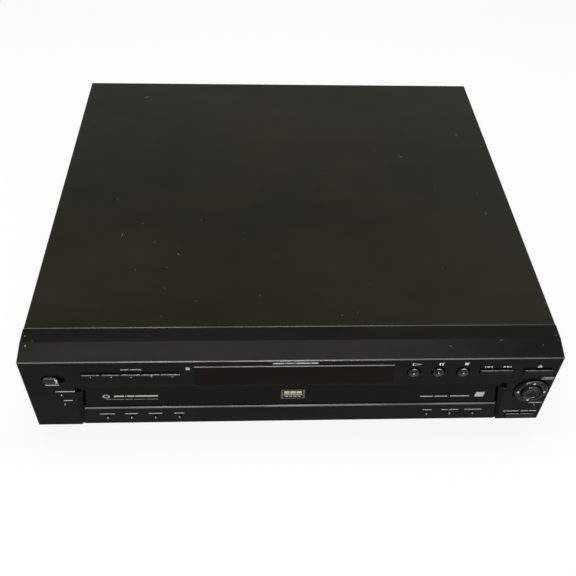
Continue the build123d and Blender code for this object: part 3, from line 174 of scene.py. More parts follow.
def blend(nodes, links, share, colour, shade):
    """Mixes a colour with a fixed shade, by a share that another node gives."""
    mix = nodes.new("ShaderNodeMix")
    mix.data_type = "RGBA"
    share_socket, colour_socket, shade_socket = mix.inputs[0], mix.inputs[6], mix.inputs[7]
    shade_socket.default_value = (*shade, 1)
    links.new(share, share_socket)
    links.new(colour, colour_socket)
    return mix.outputs[2]


def mottle(nodes, links, shader, scale, shades, socket="Base Color", stretch=(1, 1, 1), detail=3):
    """Varies a socket between two shades with soft noise, stretched along an axis if asked."""
    noise = stretched_noise(nodes, links, stretch, Scale=scale, Detail=detail, Roughness=0.6)
    ramp = nodes.new("ShaderNodeValToRGB")
    for stop, place, shade in zip(ramp.color_ramp.elements, (0.3, 0.7), shades):
        stop.position = place
        stop.color = (*shade, 1) if isinstance(shade, tuple) else (shade, shade, shade, 1)
    links.new(noise, ramp.inputs["Fac"])
    links.new(ramp.outputs["Color"], shader.inputs[socket])
    return ramp.outputs["Color"]


def soften_edges(nodes, radius):
    """The way the surface faces, with its edges rounded by this many metres."""
    rounded = add_node(nodes, "Bevel", Radius=radius)
    rounded.samples = 4
    return rounded.outputs[0]


def grain(nodes, links, shader, scale, height, strength=0.5, rounding=0.0):
    """Fine surface grain, height in metres, over edges that are rounded by this many metres."""
    where = nodes.new("ShaderNodeTexCoord")
    noise = add_node(nodes, "TexNoise", Scale=scale, Detail=2)
    bump = add_node(nodes, "Bump", Strength=strength, Distance=height)
    links.new(where.outputs["Object"], noise.inputs["Vector"])
    links.new(noise.outputs["Fac"], bump.inputs["Height"])
    links.new(bump.outputs[0], shader.inputs["Normal"])
    if not rounding:
        return None
    rounded = soften_edges(nodes, rounding)
    links.new(rounded, bump.inputs["Normal"])
    return rounded


def zinc_sheet():
    """Zinc plated sheet: crystals in close shades of grey, and faint rolling lines."""
    material, nodes, links, shader = new_material("zinc_sheet")
    shader.inputs["Metallic"].default_value = 1.0
    where = nodes.new("ShaderNodeTexCoord")
    crystals = add_node(nodes, "TexVoronoi", Scale=90.0)
    shades = nodes.new("ShaderNodeValToRGB")
    for stop, place, shade in zip(shades.color_ramp.elements, (0.0, 1.0), (0.42, 0.62)):
        stop.position = place
        stop.color = (shade, shade, shade * 1.02, 1)
    links.new(where.outputs["Object"], crystals.inputs["Vector"])
    links.new(crystals.outputs["Color"], shades.inputs["Fac"])
    links.new(shades.outputs["Color"], shader.inputs["Base Color"])
    mottle(nodes, links, shader, 40.0, (0.32, 0.5), "Roughness", (1, 12, 1))
    grain(nodes, links, shader, 900.0, 0.00002, 0.3)
    return material


def moulding(name, shade, roughness, gloss=0.3, scale=1800.0, height=0.00002):
    """Moulded plastic: two close shades, a band of roughness and the grain of its tool."""
    material, nodes, links, shader = new_material(name)
    shader.inputs["Specular IOR Level"].default_value = gloss
    mottle(nodes, links, shader, 35.0, around(shade, 0.85, 1.15))
    mottle(nodes, links, shader, 120.0, roughness, "Roughness")
    grain(nodes, links, shader, scale, height, rounding=0.0003)
    return material


dress(zinc_sheet(), "base_pan")
dress(moulding("foot_plastic", (0.016, 0.016, 0.016), (0.45, 0.6)), "feet")


# Boards: glass fibre boards with a green lacquer, their chips and capacitors soldered on top. They lie
# along the back and stand behind the front keys, each on its own posts.
def lacquered_board():
    """Green lacquer over the weave of the board."""
    material, nodes, links, shader = new_material("lacquered_board")
    greens = ((0.006, 0.05, 0.018), (0.012, 0.085, 0.03))
    mottle(nodes, links, shader, 220.0, greens, stretch=(6, 1, 1), detail=8)
    mottle(nodes, links, shader, 90.0, (0.25, 0.45), "Roughness")
    grain(nodes, links, shader, 1200.0, 0.00004)
    return material


dress(lacquered_board(), "front_board", "main_board", "power_board")
dress(moulding("switch_plastic", (0.028, 0.028, 0.028), (0.4, 0.55)), "tact_switches")

# Sockets: black moulded blocks that stand through the back, with nickel sleeves on the round jacks, a
# coloured ring that tells each signal and two brass pins in the mains inlet.
BACK_FACE = 197.8
JACK_TIP = 204.0
JACK_PLACES = {
    "yellow": ((20, 40), (20, 56)),
    "white": ((34, 40), (34, 56)),
    "red": ((48, 40), (48, 56)),
    "orange": ((110, 48),),
}
RING_COLOURS = {
    "yellow": (0.75, 0.5, 0.02),
    "white": (0.75, 0.75, 0.72),
    "red": (0.5, 0.02, 0.015),
    "orange": (0.7, 0.18, 0.01),
}
INLET_PINS = ((-180, 48), (-172, 48))
MILLIMETRE = 0.001
SMOOTH_BELOW = radians(35)


def ring_faces(rings, sides):
    """The faces between rings of points that follow each other."""
    faces = []
    for ring in range(rings - 1):
        for n in range(sides):
            a, b = ring * sides + n, ring * sides + (n + 1) % sides
            faces.append((a, b, b + sides, a + sides))
    return faces


def turned(profile, centre, along=(0, 1, 0), sides=48):
    """A turned form: profile gives its radius and its distance along the axis, point by point."""
    axis = Vector(along)
    side = axis.orthogonal().normalized()
    up = axis.cross(side)
    points = []
    for radius, distance in profile:
        for n in range(sides):
            turn = 2 * pi * n / sides
            points.append(Vector(centre) + axis * distance + (side * cos(turn) + up * sin(turn)) * radius)
    return points, ring_faces(len(profile), sides)


def make_piece(name, body, shells, material):
    """One piece from its shells, in millimetres, that rides on a body."""
    shape = bmesh.new()
    for points, faces in shells:
        corners = [shape.verts.new(Vector(point) * MILLIMETRE) for point in points]
        for face in faces:
            shape.faces.new([corners[n] for n in face])
    bmesh.ops.remove_doubles(shape, verts=shape.verts[:], dist=1e-7)
    bmesh.ops.dissolve_degenerate(shape, edges=shape.edges[:], dist=1e-8)
    bmesh.ops.recalc_face_normals(shape, faces=shape.faces[:])
    mesh = bpy.data.meshes.new(name)
    shape.to_mesh(mesh)
    shape.free()
    mesh.shade_smooth()
    mesh.set_sharp_from_angle(angle=SMOOTH_BELOW)
    mesh.materials.append(material)
    piece = bpy.data.objects.new(name, mesh)
    bpy.context.scene.collection.objects.link(piece)
    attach(piece, body)
    return piece


def plated(name, shades, roughness):
    """Plated metal with faint handling marks."""
    material, nodes, links, shader = new_material(name)
    shader.inputs["Metallic"].default_value = 1.0
    mottle(nodes, links, shader, 150.0, shades)
    mottle(nodes, links, shader, 300.0, roughness, "Roughness")
    return material


dress(
    moulding("socket_plastic", (0.014, 0.014, 0.014), (0.35, 0.5)),
    "phono_sockets", "signal_sockets", "power_inlet",
)
sleeve_profile = (
    (4.7, 0), (4.7, 0.8), (4.3, 1.0), (4.3, 6.0), (4.1, 6.25), (3.5, 6.25), (3.3, 6.1), (4.7, 0),
)
lip_profile = ((3.35, 0), (3.3, 0.12), (2.0, 0.12), (1.85, 0))
collar_profile = ((6.2, 0), (6.2, 0.35), (4.6, 0.35), (4.6, 0))
jack_places = [place for places in JACK_PLACES.values() for place in places]
make_piece(
    "jack_sleeves", "chassis",
    [turned(sleeve_profile, (x, BACK_FACE, z)) for x, z in jack_places],
    plated("nickel", ((0.55, 0.54, 0.5), (0.68, 0.66, 0.62)), (0.15, 0.28)),
)
for colour, places in JACK_PLACES.items():
    rings = [turned(lip_profile, (x, JACK_TIP, z)) for x, z in places]
    rings += [turned(collar_profile, (x, BACK_FACE, z)) for x, z in places]
    make_piece(f"jack_rings_{colour}", "chassis", rings, moulding(colour, RING_COLOURS[colour], (0.3, 0.45)))
pin_profile = ((1.3, 0), (1.3, 8.6), (1.0, 9.1), (0, 9.3))
PIN_ROOT = 188.0
make_piece(
    "inlet_pins", "chassis",
    [turned(pin_profile, (x, PIN_ROOT, z), sides=24) for x, z in INLET_PINS],
    plated("brass", ((0.6, 0.42, 0.16), (0.72, 0.52, 0.22)), (0.18, 0.3)),
)


# Mechanism: grey glass-filled mouldings, natural white gears, a ground rubber belt, drawn steel motors
# and polished rods. It stands on the pan and shows where the tray is out.
def drawn_steel(name, shades, roughness, stretch):
    """Bright steel with the lines of its drawing or polishing."""
    material, nodes, links, shader = new_material(name)
    shader.inputs["Metallic"].default_value = 1.0
    mottle(nodes, links, shader, 60.0, shades, stretch=stretch)
    mottle(nodes, links, shader, 200.0, roughness, "Roughness", stretch)
    return material


dress(
    moulding("mechanism_grey", (0.06, 0.06, 0.062), (0.45, 0.6)),
    "mechanism_base", "clamp_bridge", "clamper", "optical_frame", "pickup_sled",
)
dress(
    moulding("gear_plastic", (0.6, 0.59, 0.54), (0.28, 0.4), 0.5),
    "table_gear", "rack_gear", "pulley_gear", "motor_pulley",
)
dress(moulding("belt_rubber", (0.011, 0.011, 0.011), (0.6, 0.75)), "loading_belt")
dress(drawn_steel("motor_steel", (0.4, 0.55), (0.25, 0.4), (1, 1, 8)), "loading_motor", "table_motor")
dress(drawn_steel("rod_steel", (0.6, 0.7), (0.08, 0.16), (8, 1, 8)), "guide_rods")

# Tray and carousel: large black mouldings with a fine satin texture. Each disc's place on the carousel
# has its number printed beside the middle cap.
FIGURE_SCALE = 1.4
INK_THICKNESS = 0.03
CAROUSEL_MIDDLE = (0, -19)
CAROUSEL_TOP = 54.0
NUMERAL_CIRCLE = 28.5
DISC_WELLS = 5
dress(moulding("tray_plastic", (0.013, 0.013, 0.0135), (0.38, 0.5)), "tray", "disc_spindle")
dress(moulding("carousel_plastic", (0.021, 0.021, 0.0225), (0.35, 0.48)), "carousel", "carousel_cap")


def numeral(character, height, place):
    """One printed figure, drawn flat and moved by place to where it is printed."""
    figure = bpy.data.curves.new("figure", "FONT")
    figure.body, figure.size, figure.extrude = character, height * FIGURE_SCALE, INK_THICKNESS
    figure.align_x, figure.align_y = "CENTER", "CENTER"
    held = bpy.data.objects.new("figure", figure)
    mesh = bpy.data.meshes.new_from_object(held)
    shell = [place @ vertex.co for vertex in mesh.vertices], [tuple(f.vertices) for f in mesh.polygons]
    bpy.data.objects.remove(held)
    bpy.data.curves.remove(figure)
    bpy.data.meshes.remove(mesh)
    return shell


def print_ink(name, shade):
    """Pad-printed ink, a little worn."""
    material, nodes, links, shader = new_material(name)
    shader.inputs["Specular IOR Level"].default_value = 0.2
    mottle(nodes, links, shader, 700.0, around(shade, 0.75, 1.1), detail=5)
    mottle(nodes, links, shader, 300.0, (0.4, 0.6), "Roughness")
    return material


white_ink = print_ink("white_ink", (0.85, 0.85, 0.8))
grey_ink = print_ink("grey_ink", (0.25, 0.25, 0.23))
stations = []
for n in range(DISC_WELLS):
    turn = radians(90 + 360 / DISC_WELLS * n)
    spot = (NUMERAL_CIRCLE * cos(turn), CAROUSEL_MIDDLE[1] + NUMERAL_CIRCLE * sin(turn), CAROUSEL_TOP)
    stations.append(numeral(str(n + 1), 7, Matrix.Translation(spot) @ Matrix.Rotation(turn + pi / 2, 4, "Z")))
make_piece("carousel_numbers", "carousel", stations, grey_ink)


# Front panel and tray front: one black satin moulding and the plate that closes its opening. Edges that
# face up and forwards carry a painted highlight, the panel's sideways faces a painted shade, and the printing
# on both is thin ink in white, grey and gold.
UP_AND_FORWARDS = (0, -0.7071, 0.7071)
FLANK_PAINTED_SHADE = (0.0005, 0.0005, 0.0004)


def paint_edge_highlight(nodes, links, shader, colour, rounded, shade):
    """Paints a highlight, lighter and metallic, on the edges that face up and forwards, uneven along X."""
    facing = nodes.new("ShaderNodeVectorMath")
    facing.operation = "DOT_PRODUCT"
    facing.inputs[1].default_value = UP_AND_FORWARDS
    links.new(rounded, facing.inputs[0])
    edge = add_node(nodes, "MapRange", From_Min=0.89, From_Max=0.93)
    links.new(facing.outputs["Value"], edge.inputs["Value"])
    highlight_unevenness = add_node(nodes, "MapRange", From_Min=0.3, From_Max=0.7, To_Min=0.6, To_Max=1.0)
    links.new(stretched_noise(nodes, links, (1, 0.1, 0.1), Scale=22.0, Detail=1), highlight_unevenness.inputs["Value"])
    painted_highlight = product(nodes, links, edge.outputs["Result"], highlight_unevenness.outputs["Result"])
    links.new(blend(nodes, links, painted_highlight, colour, shade), shader.inputs["Base Color"])
    links.new(painted_highlight, shader.inputs["Metallic"])


def paint_flank_shade(nodes, links, colour):
    """Darkens the faces that look sideways along X: a painted shade for faces that get less light."""
    facing = nodes.new("ShaderNodeNewGeometry")
    split = nodes.new("ShaderNodeSeparateXYZ")
    aside = nodes.new("ShaderNodeMath")
    aside.operation = "ABSOLUTE"
    flank = add_node(nodes, "MapRange", From_Min=0.25, From_Max=0.6, To_Min=0.0, To_Max=0.75)
    links.new(facing.outputs["Normal"], split.inputs[0])
    links.new(split.outputs["X"], aside.inputs[0])
    links.new(aside.outputs[0], flank.inputs["Value"])
    return blend(nodes, links, flank.outputs["Result"], colour, FLANK_PAINTED_SHADE)


def satin_black(name, shade, roughness, gloss, painted_highlight, rounding=0.0003, shade_flanks=False):
    """Satin black plastic with fine grain, uneven sheen and a painted highlight on edges facing up and
    forwards.
    """
    material, nodes, links, shader = new_material(name)
    shader.inputs["Specular IOR Level"].default_value = gloss
    shader.inputs["Specular Tint"].default_value = (1.0, 0.99, 0.88, 1)
    shades = around(shade, 0.8, 1.2)
    colour = mottle(nodes, links, shader, 45.0, shades, stretch=(0.25, 1, 1), detail=5)
    mottle(nodes, links, shader, 80.0, roughness, "Roughness", (0.15, 1, 1), 5)
    rounded = grain(nodes, links, shader, 2200.0, 0.00001, rounding=rounding)
    if shade_flanks:
        colour = paint_flank_shade(nodes, links, colour)
    paint_edge_highlight(nodes, links, shader, colour, rounded, painted_highlight)
    return material


FRONT = -200.6
TRAY_FACE = -198.4
STRIP_FACE = -199.8
EDGE_HIGHLIGHT = (0.17, 0.17, 0.16)
# The last shade is a painted highlight on edges facing up and forwards; shade_flanks adds a painted shade to
# sideways faces.
front_plastic = satin_black(
    "front_plastic", (0.0078, 0.0076, 0.0058), (0.2, 0.32), 0.032, EDGE_HIGHLIGHT, shade_flanks=True
)
dress(front_plastic, "front_panel")
# A darker copy of the front plastic: its lower shades are a painted shade for its place set back behind the
# panel's face, and its last shade a painted highlight on edges facing up and forwards.
tray_front_shaded_plastic = satin_black(
    "tray_front_shaded_plastic", (0.005, 0.005, 0.0038), (0.26, 0.36), 0.03, (0.1, 0.1, 0.09)
)
dress(tray_front_shaded_plastic, "tray_front")


def slab_faces(count):
    """The faces of a slab whose points are one outline and then the other."""
    sides = [(n, (n + 1) % count, (n + 1) % count + count, n + count) for n in range(count)]
    return [tuple(range(count)), tuple(range(2 * count - 1, count - 1, -1)), *sides]


def printed(outline, face, thick=INK_THICKNESS, sunk=0.02):
    """A thin shell of ink or plate on an upright face: its outline as (x, z) points."""
    points = [(x, y, z) for y in (face - thick, face + sunk) for x, z in outline]
    return points, slab_faces(len(outline))


def bar(x, z, width, height):
    """The outline of a plain rectangle from its middle."""
    half, rise = width / 2, height / 2
    return [(x - half, z - rise), (x + half, z - rise), (x + half, z + rise), (x - half, z + rise)]


def dashes(x, z, widths, height=1.0, gap=0.9):
    """Plain dashes in a row, centred on a place."""
    left = x - (sum(widths) + gap * (len(widths) - 1)) / 2
    row = []
    for width in widths:
        row.append(bar(left + width / 2, z, width, height))
        left += width + gap
    return row


def arrow(x, z, width, height, facing=1):
    """A solid triangle that points left or right."""
    back, tip = x - facing * width / 2, x + facing * width / 2
    return [(back, z - height / 2), (tip, z), (back, z + height / 2)]


def hollow(outline, line):
    """The sides of an outline as thin bars of this width."""
    middle_x = sum(x for x, z in outline) / len(outline)
    middle_z = sum(z for x, z in outline) / len(outline)
    reach = min(max(abs(x - middle_x) for x, z in outline), max(abs(z - middle_z) for x, z in outline))
    share = 1 - line / reach
    inner = [(middle_x + (x - middle_x) * share, middle_z + (z - middle_z) * share) for x, z in outline]
    count = len(outline)
    return [[outline[n], outline[(n + 1) % count], inner[(n + 1) % count], inner[n]] for n in range(count)]


DISC_NUMERALS_X = (-161.4, -145.2, -129.6, -113.7, -97.3)
DISC_NUMERALS_Z = 78.5
PLAY_SIGN_Z = 90.4
PAUSE_SIGN_Z = 90.5
SKIP_SIGN_Z = 86.2
upright = Matrix.Rotation(pi / 2, 4, "X")
panel_shells = []
for n, x in enumerate(DISC_NUMERALS_X):
    place = Matrix.Translation((x, FRONT, DISC_NUMERALS_Z))
    panel_shells.append(numeral(str(n + 1), 2.3, place @ upright))
panel_outlines = [
    *hollow(arrow(97.2, PLAY_SIGN_Z, 7.6, 3.4), 0.5),
    bar(115.4, PAUSE_SIGN_Z, 1.2, 3.0),
    bar(117.6, PAUSE_SIGN_Z, 1.2, 3.0),
    bar(136.9, PAUSE_SIGN_Z, 3.0, 3.0),
    bar(152.8, SKIP_SIGN_Z, 0.6, 2.0),
    arrow(154.6, SKIP_SIGN_Z, 2.6, 2.0, -1),
    arrow(157.4, SKIP_SIGN_Z, 2.6, 2.0, -1),
    arrow(168.8, SKIP_SIGN_Z, 2.6, 2.0),
    arrow(171.6, SKIP_SIGN_Z, 2.6, 2.0),
    bar(173.6, SKIP_SIGN_Z, 0.6, 2.0),
    [(195.6, 86.0), (199.4, 86.0), (197.5, 88.0)],
    bar(197.5, 85.2, 3.8, 0.7),
]
panel_shells += [printed(outline, FRONT) for outline in panel_outlines]
make_piece("panel_symbols", "chassis", panel_shells, white_ink)
word_outlines = [
    *dashes(-192.9, 68.4, (11.0,), 1.1),
    *dashes(-184.3, 59.6, (15.2,), 1.1),
    *dashes(-184.0, 47.4, (7.4,), 1.1),
    *dashes(-128.6, 87.4, (6.4, 9.0), 0.9),
    bar(-84.4, 87.8, 3.2, 3.2),
    *dashes(0.2, 93.35, (8.5, 0.8, 5.0, 0.8, 11.0, 5.5), 1.6, 0.8),
    *dashes(208.6, 71.4, (9.4,), 0.8),
    *dashes(208.2, 69.4, (10.4,), 0.8),
    *dashes(207.3, 36.4, (11.6,), 0.9),
    *dashes(189.0, 24.2, (13.4,), 1.1),
    *dashes(204.4, 24.2, (6.4, 6.4), 1.1),
]
word_ink = print_ink("word_ink", (0.55, 0.55, 0.52))
make_piece("panel_words", "chassis", [printed(outline, FRONT) for outline in word_outlines], word_ink)

STRIP_LABEL_Z = 26.4
STRIP_KEYS = {
    "shuffle_key": (-155.5, (12.4,)),
    "repeat_key": (-135.5, (10.6,)),
    "one_all_key": (-115.5, (11.4,)),
    "load_key": (-95.5, (8.0,)),
    "title_key": (115.5, (7.6,)),
    "menu_key": (135.5, (5.6, 8.4)),
    "return_key": (155.5, (14.6,)),
}
strip_shells = []
for x, widths in STRIP_KEYS.values():
    strip_shells += [printed(outline, STRIP_FACE) for outline in dashes(x, STRIP_LABEL_Z, widths)]
make_piece("strip_words", "chassis", strip_shells, word_ink)

TRAY_LABEL_Z = 44.2
OVAL = (-153.4, 49.2)
OVAL_REACH = (2.9, 2.4)
OVAL_SIDES = 16
BADGE_X = -0.3
oval = []
for n in range(OVAL_SIDES):
    turn = 2 * pi * n / OVAL_SIDES
    oval.append((OVAL[0] + OVAL_REACH[0] * cos(turn), OVAL[1] + OVAL_REACH[1] * sin(turn)))
tray_outlines = [
    *dashes(-129.2, 49.4, (8.2, 0.8, 5.6, 18.4), 1.9, 0.9),
    *hollow(oval, 0.9),
    *dashes(112.4, TRAY_LABEL_Z, (10.6,), 1.2),
    *dashes(124.6, TRAY_LABEL_Z, (10.9,), 1.2),
    *dashes(140.6, TRAY_LABEL_Z, (16.0,), 1.2),
]
tray_shells = [printed(outline, TRAY_FACE) for outline in tray_outlines]
make_piece("tray_words", "tray", tray_shells, word_ink)
underline_dashes = dashes(-133.0, 45.0, (15.0, 6.0, 10.0, 9.0), 0.7, 0.8)
underline = [printed(outline, TRAY_FACE) for outline in underline_dashes]
badge_edge = [printed(outline, TRAY_FACE, 0.25) for outline in hollow(bar(BADGE_X, 49.6, 19.6, 12.0), 0.8)]
pale_gold = print_ink("pale_gold", (0.72, 0.65, 0.44))
make_piece("tray_underline", "tray", underline, print_ink("dull_gold", (0.28, 0.24, 0.15)))
make_piece("badge_rim", "tray", badge_edge, print_ink("badge_grey", (0.13, 0.13, 0.12)))
badge_bars = [
    *dashes(BADGE_X, 52.1, (4.4, 4.4, 4.4), 3.0, 0.7),
    bar(BADGE_X, 48.9, 15.6, 0.9),
    *dashes(BADGE_X, 46.5, (2.6, 2.6, 2.6, 2.6), 0.9),
]
make_piece("badge_bars", "tray", [printed(outline, TRAY_FACE, 0.1) for outline in badge_bars], pale_gold)
square_plate = [(153.4, 43.2), (160.6, 43.2), (161.0, 49.4), (153.8, 49.4)]
plate_grey = print_ink("plate_grey", (0.6, 0.6, 0.56))
make_piece("square_plate", "tray", [printed(square_plate, TRAY_FACE, 0.1)], plate_grey)


# Gap shade: a short black cord behind each lower end of the tray opening, a painted shade that keeps the
# joint between the strip and the pillars dark.
gap_shade_profile = ((0, 0), (1.4, 0.1), (1.8, 0.6), (1.8, 16.4), (1.4, 16.9), (0, 17))
GAP_SHADE_X, GAP_SHADE_Y, GAP_SHADE_FOOT_Z = 178.4, -195.0, 8.6
gap_shades = [turned(gap_shade_profile, (side * GAP_SHADE_X, GAP_SHADE_Y, GAP_SHADE_FOOT_Z), (0, 0, 1), 16) for side in (-1, 1)]
make_piece("gap_shade", "chassis", gap_shades, moulding("gap_shade_black", (0.003, 0.003, 0.003), (0.8, 0.95), 0.02))

# Display window: smoked acrylic with a bevelled rim that stands a little proud, over the unlit tube. The
# rim's top carries a painted highlight.
def smoked_acrylic():
    """Smoked brown acrylic with a painted highlight along the top of its rim."""
    material, nodes, links, shader = new_material("smoked_acrylic")
    colour = mottle(nodes, links, shader, 9.0, ((0.005, 0.0025, 0.0007), (0.009, 0.0055, 0.0018)))
    shader.inputs["Roughness"].default_value = 0.14
    shader.inputs["Specular IOR Level"].default_value = 0.03
    rounded = soften_edges(nodes, 0.0002)
    links.new(rounded, shader.inputs["Normal"])
    paint_edge_highlight(nodes, links, shader, colour, rounded, (0.28, 0.27, 0.26))
    return material


dress(smoked_acrylic(), "display_window", "display_tube")

# Flat keys: moulded in the same black as the panel, a little glossier, each guided in its own opening
# and held out by its switch.
# The last shade is a painted highlight on the key edges that face up and forwards.
key_plastic = satin_black(
    "key_plastic", (0.007, 0.007, 0.006), (0.25, 0.36), 0.05, (0.45, 0.45, 0.42), 0.0012
)
dress(
    key_plastic,
    "disc_key_1", "disc_key_2", "disc_key_3", "disc_key_4", "disc_key_5", "skip_rocker", "open_close_key",
    "cursor_pivot", "exchange_key", "disc_skip_key",
)

# Small keys: seven along the strip and three on the pillars, each a little polished dome of black plastic
# on its own stem, moulded in one with the collar that stops it behind the panel.
STRIP_KEY_Z = 21.7
COLLAR_FRONT, COLLAR_BACK, STEM_END = -2.9, -4.1, -7.6
small_keys = {"surround_key": (-187.6, 54.8), "night_key": (-187.2, 42.2), "display_key": (206.7, 32.8)}
small_keys |= {name: (x, STRIP_KEY_Z) for name, (x, widths) in STRIP_KEYS.items()}
small_profile = (
    (0, 1.3), (0.4, 1.2), (0.8, 0.9), (1.2, 0.5), (1.5, 0.0), (1.55, -0.5),
    (1.55, COLLAR_FRONT), (2.7, COLLAR_FRONT), (2.7, COLLAR_BACK),
    (1.5, COLLAR_BACK), (1.5, STEM_END), (0, STEM_END),
)
# The last shade is a painted highlight on the upper side of each dome.
small_black = satin_black(
    "small_black", (0.014, 0.014, 0.013), (0.2, 0.28), 0.18, (0.25, 0.25, 0.24), 0.0001
)
for name, (x, z) in small_keys.items():
    cap = turned(small_profile, (x, FRONT, z), (0, -1, 0), 32)
    small = make_piece(f"{name}_dome", name, [cap], small_black)
    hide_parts(name)

# Round keys: power is a rounded bar with a pale insert at its right end as a painted highlight, play, pause
# and stop are small domes, the middle key is a shallow dish and the cursor ring round it tips four ways. All
# are polished, with a painted highlight on edges that face up and forwards.
POWER = (-192.6, 76.0)
POWER_SIZE = (12.9, 6.8)
POWER_STEM = (-191.0, 75.5)
STEM_ROOT = 4.0
POWER_HIGHLIGHT = (-187.9, 75.8)
TRANSPORT = {"play_key": 95.5, "pause_key": 115.5, "stop_key": 135.5}
TRANSPORT_HEIGHT = 80.7
CURSOR = (198.0, 54.6)
# The last shade of each is a painted highlight on edges facing up and forwards.
ring_black = satin_black("ring_black", (0.0075, 0.0073, 0.0062), (0.2, 0.3), 0.1, (0.1, 0.1, 0.09))
dome_black = satin_black(
    "dome_black", (0.006, 0.006, 0.0052), (0.12, 0.18), 0.16, (0.5, 0.5, 0.47), 0.0001
)


def bar_key(profile, centre, size, sides=32):
    """A bar with round ends: profile gives how far its outline steps in, and its distance outwards."""
    reach = (size[0] - size[1]) / 2
    points = []
    for inset, distance in profile:
        radius = max(size[1] / 2 - inset, 0.01)
        for n in range(sides):
            turn = 2 * pi * (n + 0.5) / sides
            end = reach if cos(turn) > 0 else -reach
            x, z = end + radius * cos(turn), radius * sin(turn)
            points.append((centre[0] + x, FRONT - distance, centre[1] + z))
    front, back = tuple(range(sides)), tuple(range(len(points) - 1, len(points) - sides - 1, -1))
    return points, [*ring_faces(len(profile), sides), front, back]


power_profile = (
    (2.6, 2.35), (1.7, 2.25), (0.9, 1.95), (0.35, 1.4), (0.05, 0.6), (0, -0.4),
    (0, COLLAR_FRONT), (-1.0, COLLAR_FRONT), (-1.0, COLLAR_BACK),
)
stem_outline = bar(*POWER_STEM, 4, 4)
power_stem = [(x, y, z) for y in (FRONT + STEM_ROOT, FRONT - STEM_END) for x, z in stem_outline]
power_shells = [bar_key(power_profile, POWER, POWER_SIZE), (power_stem, slab_faces(len(stem_outline)))]
power = make_piece("power_bar", "power_key", power_shells, ring_black)
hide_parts("power_key")
# A pale insert at the bar's right end: a painted highlight.
highlight_profile = ((0.9, 2.35), (0.3, 2.3), (0, 2.1))
power_highlight = bar_key(highlight_profile, POWER_HIGHLIGHT, (1.6, 4.4), 16)
make_piece("power_end_highlight", "power_key", [power_highlight], print_ink("painted_highlight_ink", (0.8, 0.8, 0.74)))
# The small pip at the top of each dome carries its painted highlight spot.
dome_profile = (
    (0, 2.95), (0.4, 2.88), (0.8, 2.6), (1.15, 2.2), (1.5, 2.12), (2.4, 1.98), (3.4, 1.72), (4.3, 1.44),
    (4.75, 0.7), (4.9, -0.2), (4.9, COLLAR_FRONT), (6.1, COLLAR_FRONT), (6.1, COLLAR_BACK),
    (2.0, COLLAR_BACK), (2.0, STEM_END), (0, STEM_END),
)
for name, x in TRANSPORT.items():
    dome = make_piece(
        f"{name}_dome", name, [turned(dome_profile, (x, FRONT, TRANSPORT_HEIGHT), (0, -1, 0), 64)], dome_black
    )
    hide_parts(name)
enter_profile = (
    (0, 2.7), (2.2, 2.75), (4.2, 3.0), (5.6, 3.38), (6.4, 3.4), (7.1, 3.0), (7.55, 2.2), (7.7, 1.2),
    (7.7, COLLAR_FRONT), (4.9, COLLAR_FRONT), (4.9, COLLAR_BACK),
    (2.0, COLLAR_BACK), (2.0, STEM_END), (0, STEM_END),
)
cursor_x, cursor_z = CURSOR
dish = turned(enter_profile, (cursor_x, FRONT, cursor_z), (0, -1, 0), 72)
enter = make_piece("enter_dish", "enter_key", [dish], ring_black)
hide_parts("enter_key")
ring_profile = (
    (8.3, -3.9), (13.8, -3.9), (13.8, 0.8), (13.6, 1.5), (13.1, 2.1), (12.4, 2.4), (10.4, 2.4), (9.4, 2.0),
    (8.6, 1.3), (8.3, 0.4), (8.3, -3.9),
)
ring = make_piece(
    "cursor_ring_turned", "cursor_ring",
    [turned(ring_profile, (cursor_x, FRONT, cursor_z), (0, -1, 0), 96)], ring_black,
)
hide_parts("cursor_ring")
RING_TOP = 2.4
ARROW_TIP, ARROW_FOOT, ARROW_HALF = 12.5, 10.4, 1.5
arrows = []
for turn in range(4):
    angle = pi / 2 * turn
    middle = Vector((cos(angle), sin(angle)))
    across = Vector((-middle.y, middle.x))
    tip, foot = middle * ARROW_TIP, middle * ARROW_FOOT
    outline = [tip, foot + across * ARROW_HALF, foot - across * ARROW_HALF]
    arrows.append(printed([(cursor_x + p.x, cursor_z + p.y) for p in outline], FRONT - RING_TOP))
make_piece("cursor_arrows", "cursor_ring", arrows, white_ink)


# Rear panel and top cover: pressed steel in baked satin black. The cover drops over the base and is
# screwed at the sides; years of use left specks, chips at its corners and a few light scratches.
SPECK_SHADE = (0.17, 0.17, 0.15)


def black_paint(name, shade, roughness, gloss, painted_highlight):
    """Baked satin paint: fine orange peel, faint streaks from wiping, a painted highlight on edges and tiny
    specks.
    """
    material, nodes, links, shader = new_material(name)
    shader.inputs["Specular IOR Level"].default_value = gloss
    shader.inputs["Specular Tint"].default_value = (1.0, 0.99, 0.8, 1)
    shades = around(shade, 0.7, 1.3)
    colour = mottle(nodes, links, shader, 7.0, shades, stretch=(0.8, 1.6, 1), detail=6)
    mottle(nodes, links, shader, 9.0, roughness, "Roughness", (1, 2, 1), 5)
    rounded = grain(nodes, links, shader, 1500.0, 0.000015, rounding=0.0003)
    paint_edge_highlight(nodes, links, shader, colour, rounded, painted_highlight)
    where = nodes.new("ShaderNodeTexCoord")
    specks = add_node(nodes, "TexVoronoi", Scale=75.0)
    specks.voronoi_dimensions = "2D"
    near = add_node(nodes, "MapRange", From_Min=0.02, From_Max=0.035, To_Min=1.0, To_Max=0.0)
    split = nodes.new("ShaderNodeSeparateColor")
    chosen = add_node(nodes, "MapRange", From_Min=0.92, From_Max=1.0)
    links.new(where.outputs["Object"], specks.inputs["Vector"])
    links.new(specks.outputs["Distance"], near.inputs["Value"])
    links.new(specks.outputs["Color"], split.inputs[0])
    links.new(split.outputs[0], chosen.inputs["Value"])
    speckled = product(nodes, links, near.outputs["Result"], chosen.outputs["Result"])
    paint = shader.inputs["Base Color"].links[0].from_socket
    links.new(blend(nodes, links, speckled, paint, SPECK_SHADE), shader.inputs["Base Color"])
    return material
